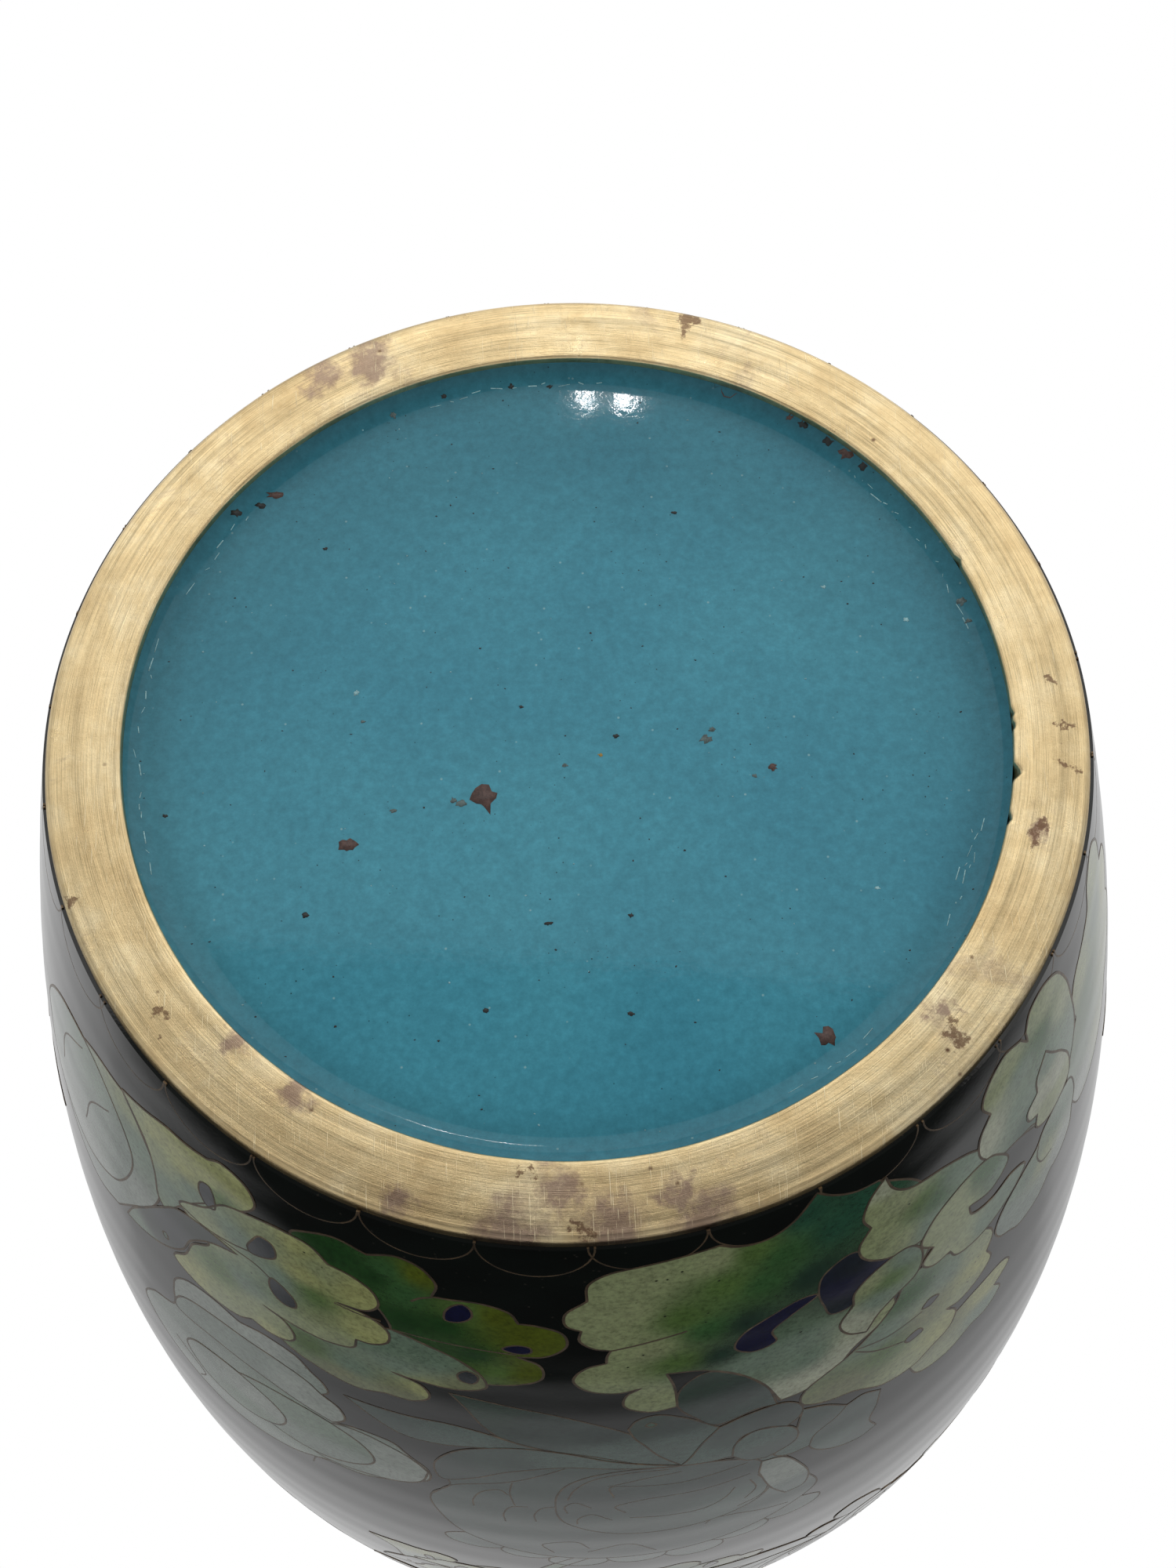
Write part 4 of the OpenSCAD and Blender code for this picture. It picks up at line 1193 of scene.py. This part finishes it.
CHIPS = (
    (8.8, -7.6, 1.35, RUST), (11.4, -8, 0.5, STAIN), (12.2, -7.6, 0.35, STAIN), (23.2, -12, 0.8, RUST),
    (-24.3, -35.2, 0.95, RUST), (-20.9, 42.6, 1.3, RUST), (-19.4, 43.2, 0.9, DARK), (31.4, 31.5, 0.75, RUST),
    (33, 30.2, 0.5, DARK), (35.6, 29, 0.5, DARK), (-21.4, -5.5, 0.42, RUST), (-19.4, -6.4, 0.3, STAIN),
    (-14.6, -1.9, 0.6, STAIN), (-15.3, -0.8, 0.35, STAIN), (-5.1, -1.1, 0.32, DARK),
    (-3.4, -3.2, 0.22, GOLD), (0.4, -4.2, 0.3, STAIN), (22.3, 5.7, 0.3, PALE_BLUE),
    (-28.8, 16, 0.28, PALE_BLUE), (25.7, 24, 0.25, DARK), (-13.1, 26.4, 0.3, DARK), (2.8, -21.8, 0.35, DARK),
    (9.5, -30.7, 0.32, DARK), (-5, -31.8, 0.32, DARK), (-5.6, -21.4, 0.28, DARK), (27.6, -19.5, 0.3, DARK),
    (4.7, 2.9, 0.25, DARK), (42.4, -7.4, 0.3, DARK), (-44, 11, 0.35, STAIN), (-43.6, 13.4, 0.5, STAIN),
    (-31.2, 34.6, 0.8, DARK), (-33, 33, 0.8, RUST), (-34.8, 31.2, 0.6, DARK), (-28.4, 37, 0.5, DARK),
    (-27, 38, 0.4, RUST), (-37.4, 11.6, 0.3, PALE_BLUE), (21.6, 2.2, 0.25, STAIN), (18.4, -8.4, 0.35, STAIN),
    (-31, -19.6, 0.28, PALE_BLUE), (0, 44.4, 0.3, DARK), (4.4, 44.6, 0.35, DARK), (12.2, 43.6, 0.3, DARK),
    (18, 41.4, 0.35, STAIN),
)
for x, y, size, colour in CHIPS:
    chip(x, y, size, colour)
for _ in range(150):
    r = BASE_R * 0.97 * math.sqrt(RNG.uniform())
    t = RNG.uniform(0, 2 * math.pi)
    bright = RNG.uniform() < 0.35
    chip(r * math.cos(t), r * math.sin(t), RNG.uniform(0.05, 0.13), BRIGHT if bright else DARK, 8)


def pale_dashes(r, start, end):
    """A broken pale line along the edge of the base, between two angles from +X."""
    at = start
    while at < end:
        length = RNG.uniform(0.3, 2.2)
        t = np.radians(np.linspace(at, at + length, 6))
        drift = r + RNG.uniform(-0.35, 0.35) + RNG.uniform(-0.15, 0.15) * np.linspace(-1, 1, 6)
        inner = np.stack([drift * np.cos(t), drift * np.sin(t)], -1)
        width = RNG.uniform(0.05, 0.12)
        outer = inner * ((drift + width) / drift)[:, None]
        ring = np.concatenate([inner, outer[::-1]])
        z = base_height(np.hypot(ring[:, 0], ring[:, 1])) - 0.015
        low = np.column_stack([ring, z]) * MM
        faces = [(11 - k, 10 - k, k + 1, k) for k in range(5)]
        high = np.column_stack([ring, z + 0.1]) * MM
        faces += [tuple(i + 12 for i in reversed(f)) for f in faces]
        faces += [(k, (k + 1) % 12, (k + 1) % 12 + 12, k + 12) for k in range(12)]
        chips.add(np.concatenate([low, high]), faces, np.tile(linear(*PALE_BLUE), (24, 1)))
        at += length + RNG.uniform(0.2, 2.5)


for r, start, end in ((45.5, -18, 16), (44.4, 196, 212), (43.6, 198, 206), (45.2, 138, 166), (44.6, 72, 98),
                      (44.9, 25, 40), (45.2, 230, 244)):
    pale_dashes(r, start, end)
chips.piece("base_chips", CHIP, "turquoise_enamel", ())


# ---------------------------------------------------------------- the CAD pieces that stay

for nodes, material in (
    (("lower_shell", "upper_shell", "neck_tube", "base_plate"), COPPER),
    (("foot_braze", "base_braze", "belly_braze", "neck_braze", "lip_braze"), SOLDER),
    (("floor_lining", "lower_lining", "upper_lining", "neck_lining"), LINING),
):
    for node in nodes:
        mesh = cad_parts[node].data
        mesh.materials.clear()
        mesh.materials.append(material)


# ---------------------------------------------------------------- floor, light and camera

def stage_plane(name, centre, size, material):
    bm = bmesh.new()
    bmesh.ops.create_grid(bm, x_segments=2, y_segments=2, size=size)
    mesh = bpy.data.meshes.new(name)
    bm.to_mesh(mesh)
    bm.free()
    mesh.materials.append(material)
    obj = bpy.data.objects.new(name, mesh)
    obj.location = centre
    COLLECTION.objects.link(obj)
    return obj


def floor_material():
    """Pale from above, fading to white far off, and clear from below, so that the foot can be seen."""
    s = Shader("pale_floor", roughness=0.6)
    s.bsdf.inputs["Base Color"].default_value = (0.8, 0.8, 0.79, 1)
    s.bsdf.inputs["Emission Color"].default_value = (1, 1, 1, 1)
    glow = s.ramp(s.polar_radius(), [(0.0, 0.34), (0.25, 0.36), (1.0, 1.0)])
    s.put(glow, s.bsdf.inputs["Emission Strength"])
    below = s.node("NewGeometry", {}, "Backfacing")
    shown = s.node("MixShader", {0: below, 1: s.bsdf.outputs[0], 2: s.node("BsdfTransparent", {})})
    s.put(shown, s.nodes["Material Output"].inputs["Surface"])
    return s.mat


floor = stage_plane("floor", (0, 0, 0), 6.0, floor_material())
floor.visible_diffuse = False
floor.visible_glossy = False
floor.visible_shadow = False


def area_light(name, location, aim, width, height, radiance, colour=(1, 1, 1)):
    """A panel or lamp, aimed at a point, whose face shows a given radiance."""
    light = bpy.data.lights.new(name, "AREA")
    light.shape = "RECTANGLE"
    light.size = width
    light.size_y = height
    light.energy = radiance * (width * height) * math.pi
    light.color = colour
    obj = bpy.data.objects.new(name, light)
    obj.location = location
    obj.rotation_euler = (Vector(aim) - Vector(location)).to_track_quat("-Z", "Y").to_euler()
    obj.visible_camera = False
    COLLECTION.objects.link(obj)


area_light("below_panel", (-0.07, 0.59, -0.687), (0, 0.03, 0), 1.6, 0.83, 0.86, (1.0, 0.99, 0.97))
LAMP_STRETCH = 1.8
for name, x, width in (("lamp_one", -0.014, 0.004), ("lamp_two", -0.030, 0.0055)):
    area_light(name, (x, 0.33, -0.345), (-0.007, 0.0435, 0.002), width, width * LAMP_STRETCH, 150)


def world_light():
    """White where the camera looks past the vase. For reflections, a room, pale behind and dark in front."""
    world = bpy.data.worlds.new("room")
    bpy.context.scene.world = world
    world.use_nodes = True
    g = Graph(world.node_tree, "Generated")
    # A ray's direction, from -1 to 1 on each axis, as positions along a ramp.
    y, z = (g.node("Math", {0: axis, 1: 0.5, 2: 0.5}, operation="MULTIPLY_ADD") for axis in g.split()[1:])

    # Height alone: dim straight below, bright low down, dark at the horizon, and a pale ceiling.
    height = g.ramp(z, [(0.0, 0.08), (0.02, 0.10), (0.07, 0.40), (0.3, 0.5), (0.38, 0.85), (0.46, 0.85),
                        (0.49, 0.02), (0.905, 0.02), (0.933, 0.28), (0.955, 0.36), (0.975, 0.50),
                        (0.99, 0.62)])
    # Around the sides and behind, the room is pale at every height above the floor.
    behind = g.ramp(y, [(0.41, 0.01), (0.47, 0.12), (0.55, 0.48), (0.64, 0.60), (0.80, 0.72), (0.95, 1.0)])
    above = g.ramp(z, [(0.46, 0.0), (0.5, 1.0)])
    # At the sides the ceiling comes down a little lower than in front.
    beside = g.math("MULTIPLY", g.ramp(y, [(0.30, 0.0), (0.38, 1.0)]),
                    g.ramp(z, [(0.881, 0.0), (0.891, 0.18), (0.905, 0.40), (0.95, 0.38)]))
    room = g.math("MAXIMUM", g.math("MAXIMUM", height, beside), g.math("MULTIPLY", behind, above))
    seen = g.mix(g.node("LightPath", {}, "Is Camera Ray"), room, (1.0, 1.0, 1.0))
    g.put(seen, g.nodes["Background"].inputs["Color"])


world_light()

# The camera looks up at the foot from in front and below, rolled over so that the vase hangs upside down.
CAMERA_DISTANCE = 4.1639 * FOOT_R * MM
CAMERA_ANGLE = 1.1062
ROLL, PAN, TILT = -0.0493, -0.0099, 0.0279
place = Vector((0, -CAMERA_DISTANCE * math.cos(CAMERA_ANGLE), -CAMERA_DISTANCE * math.sin(CAMERA_ANGLE)))
forward = -place.normalized()
down = (Vector((0, 0, 1)) - forward * forward.z).normalized()
right = down.cross(forward)
axes = (Matrix.Rotation(TILT, 3, "X") @ Matrix.Rotation(PAN, 3, "Y") @ Matrix.Rotation(ROLL, 3, "Z")
        @ Matrix((right, down, forward)))
camera_data = bpy.data.cameras.new("camera")
camera_data.sensor_width = 36
camera_data.lens = 49.93
camera_data.clip_start = 0.01
camera = bpy.data.objects.new("camera", camera_data)
turn = Matrix((axes[0], -axes[1], -axes[2])).transposed()
camera.matrix_world = Matrix.Translation(place) @ turn.to_4x4()
COLLECTION.objects.link(camera)
bpy.context.scene.camera = camera
bpy.context.scene.view_settings.view_transform = "Standard"
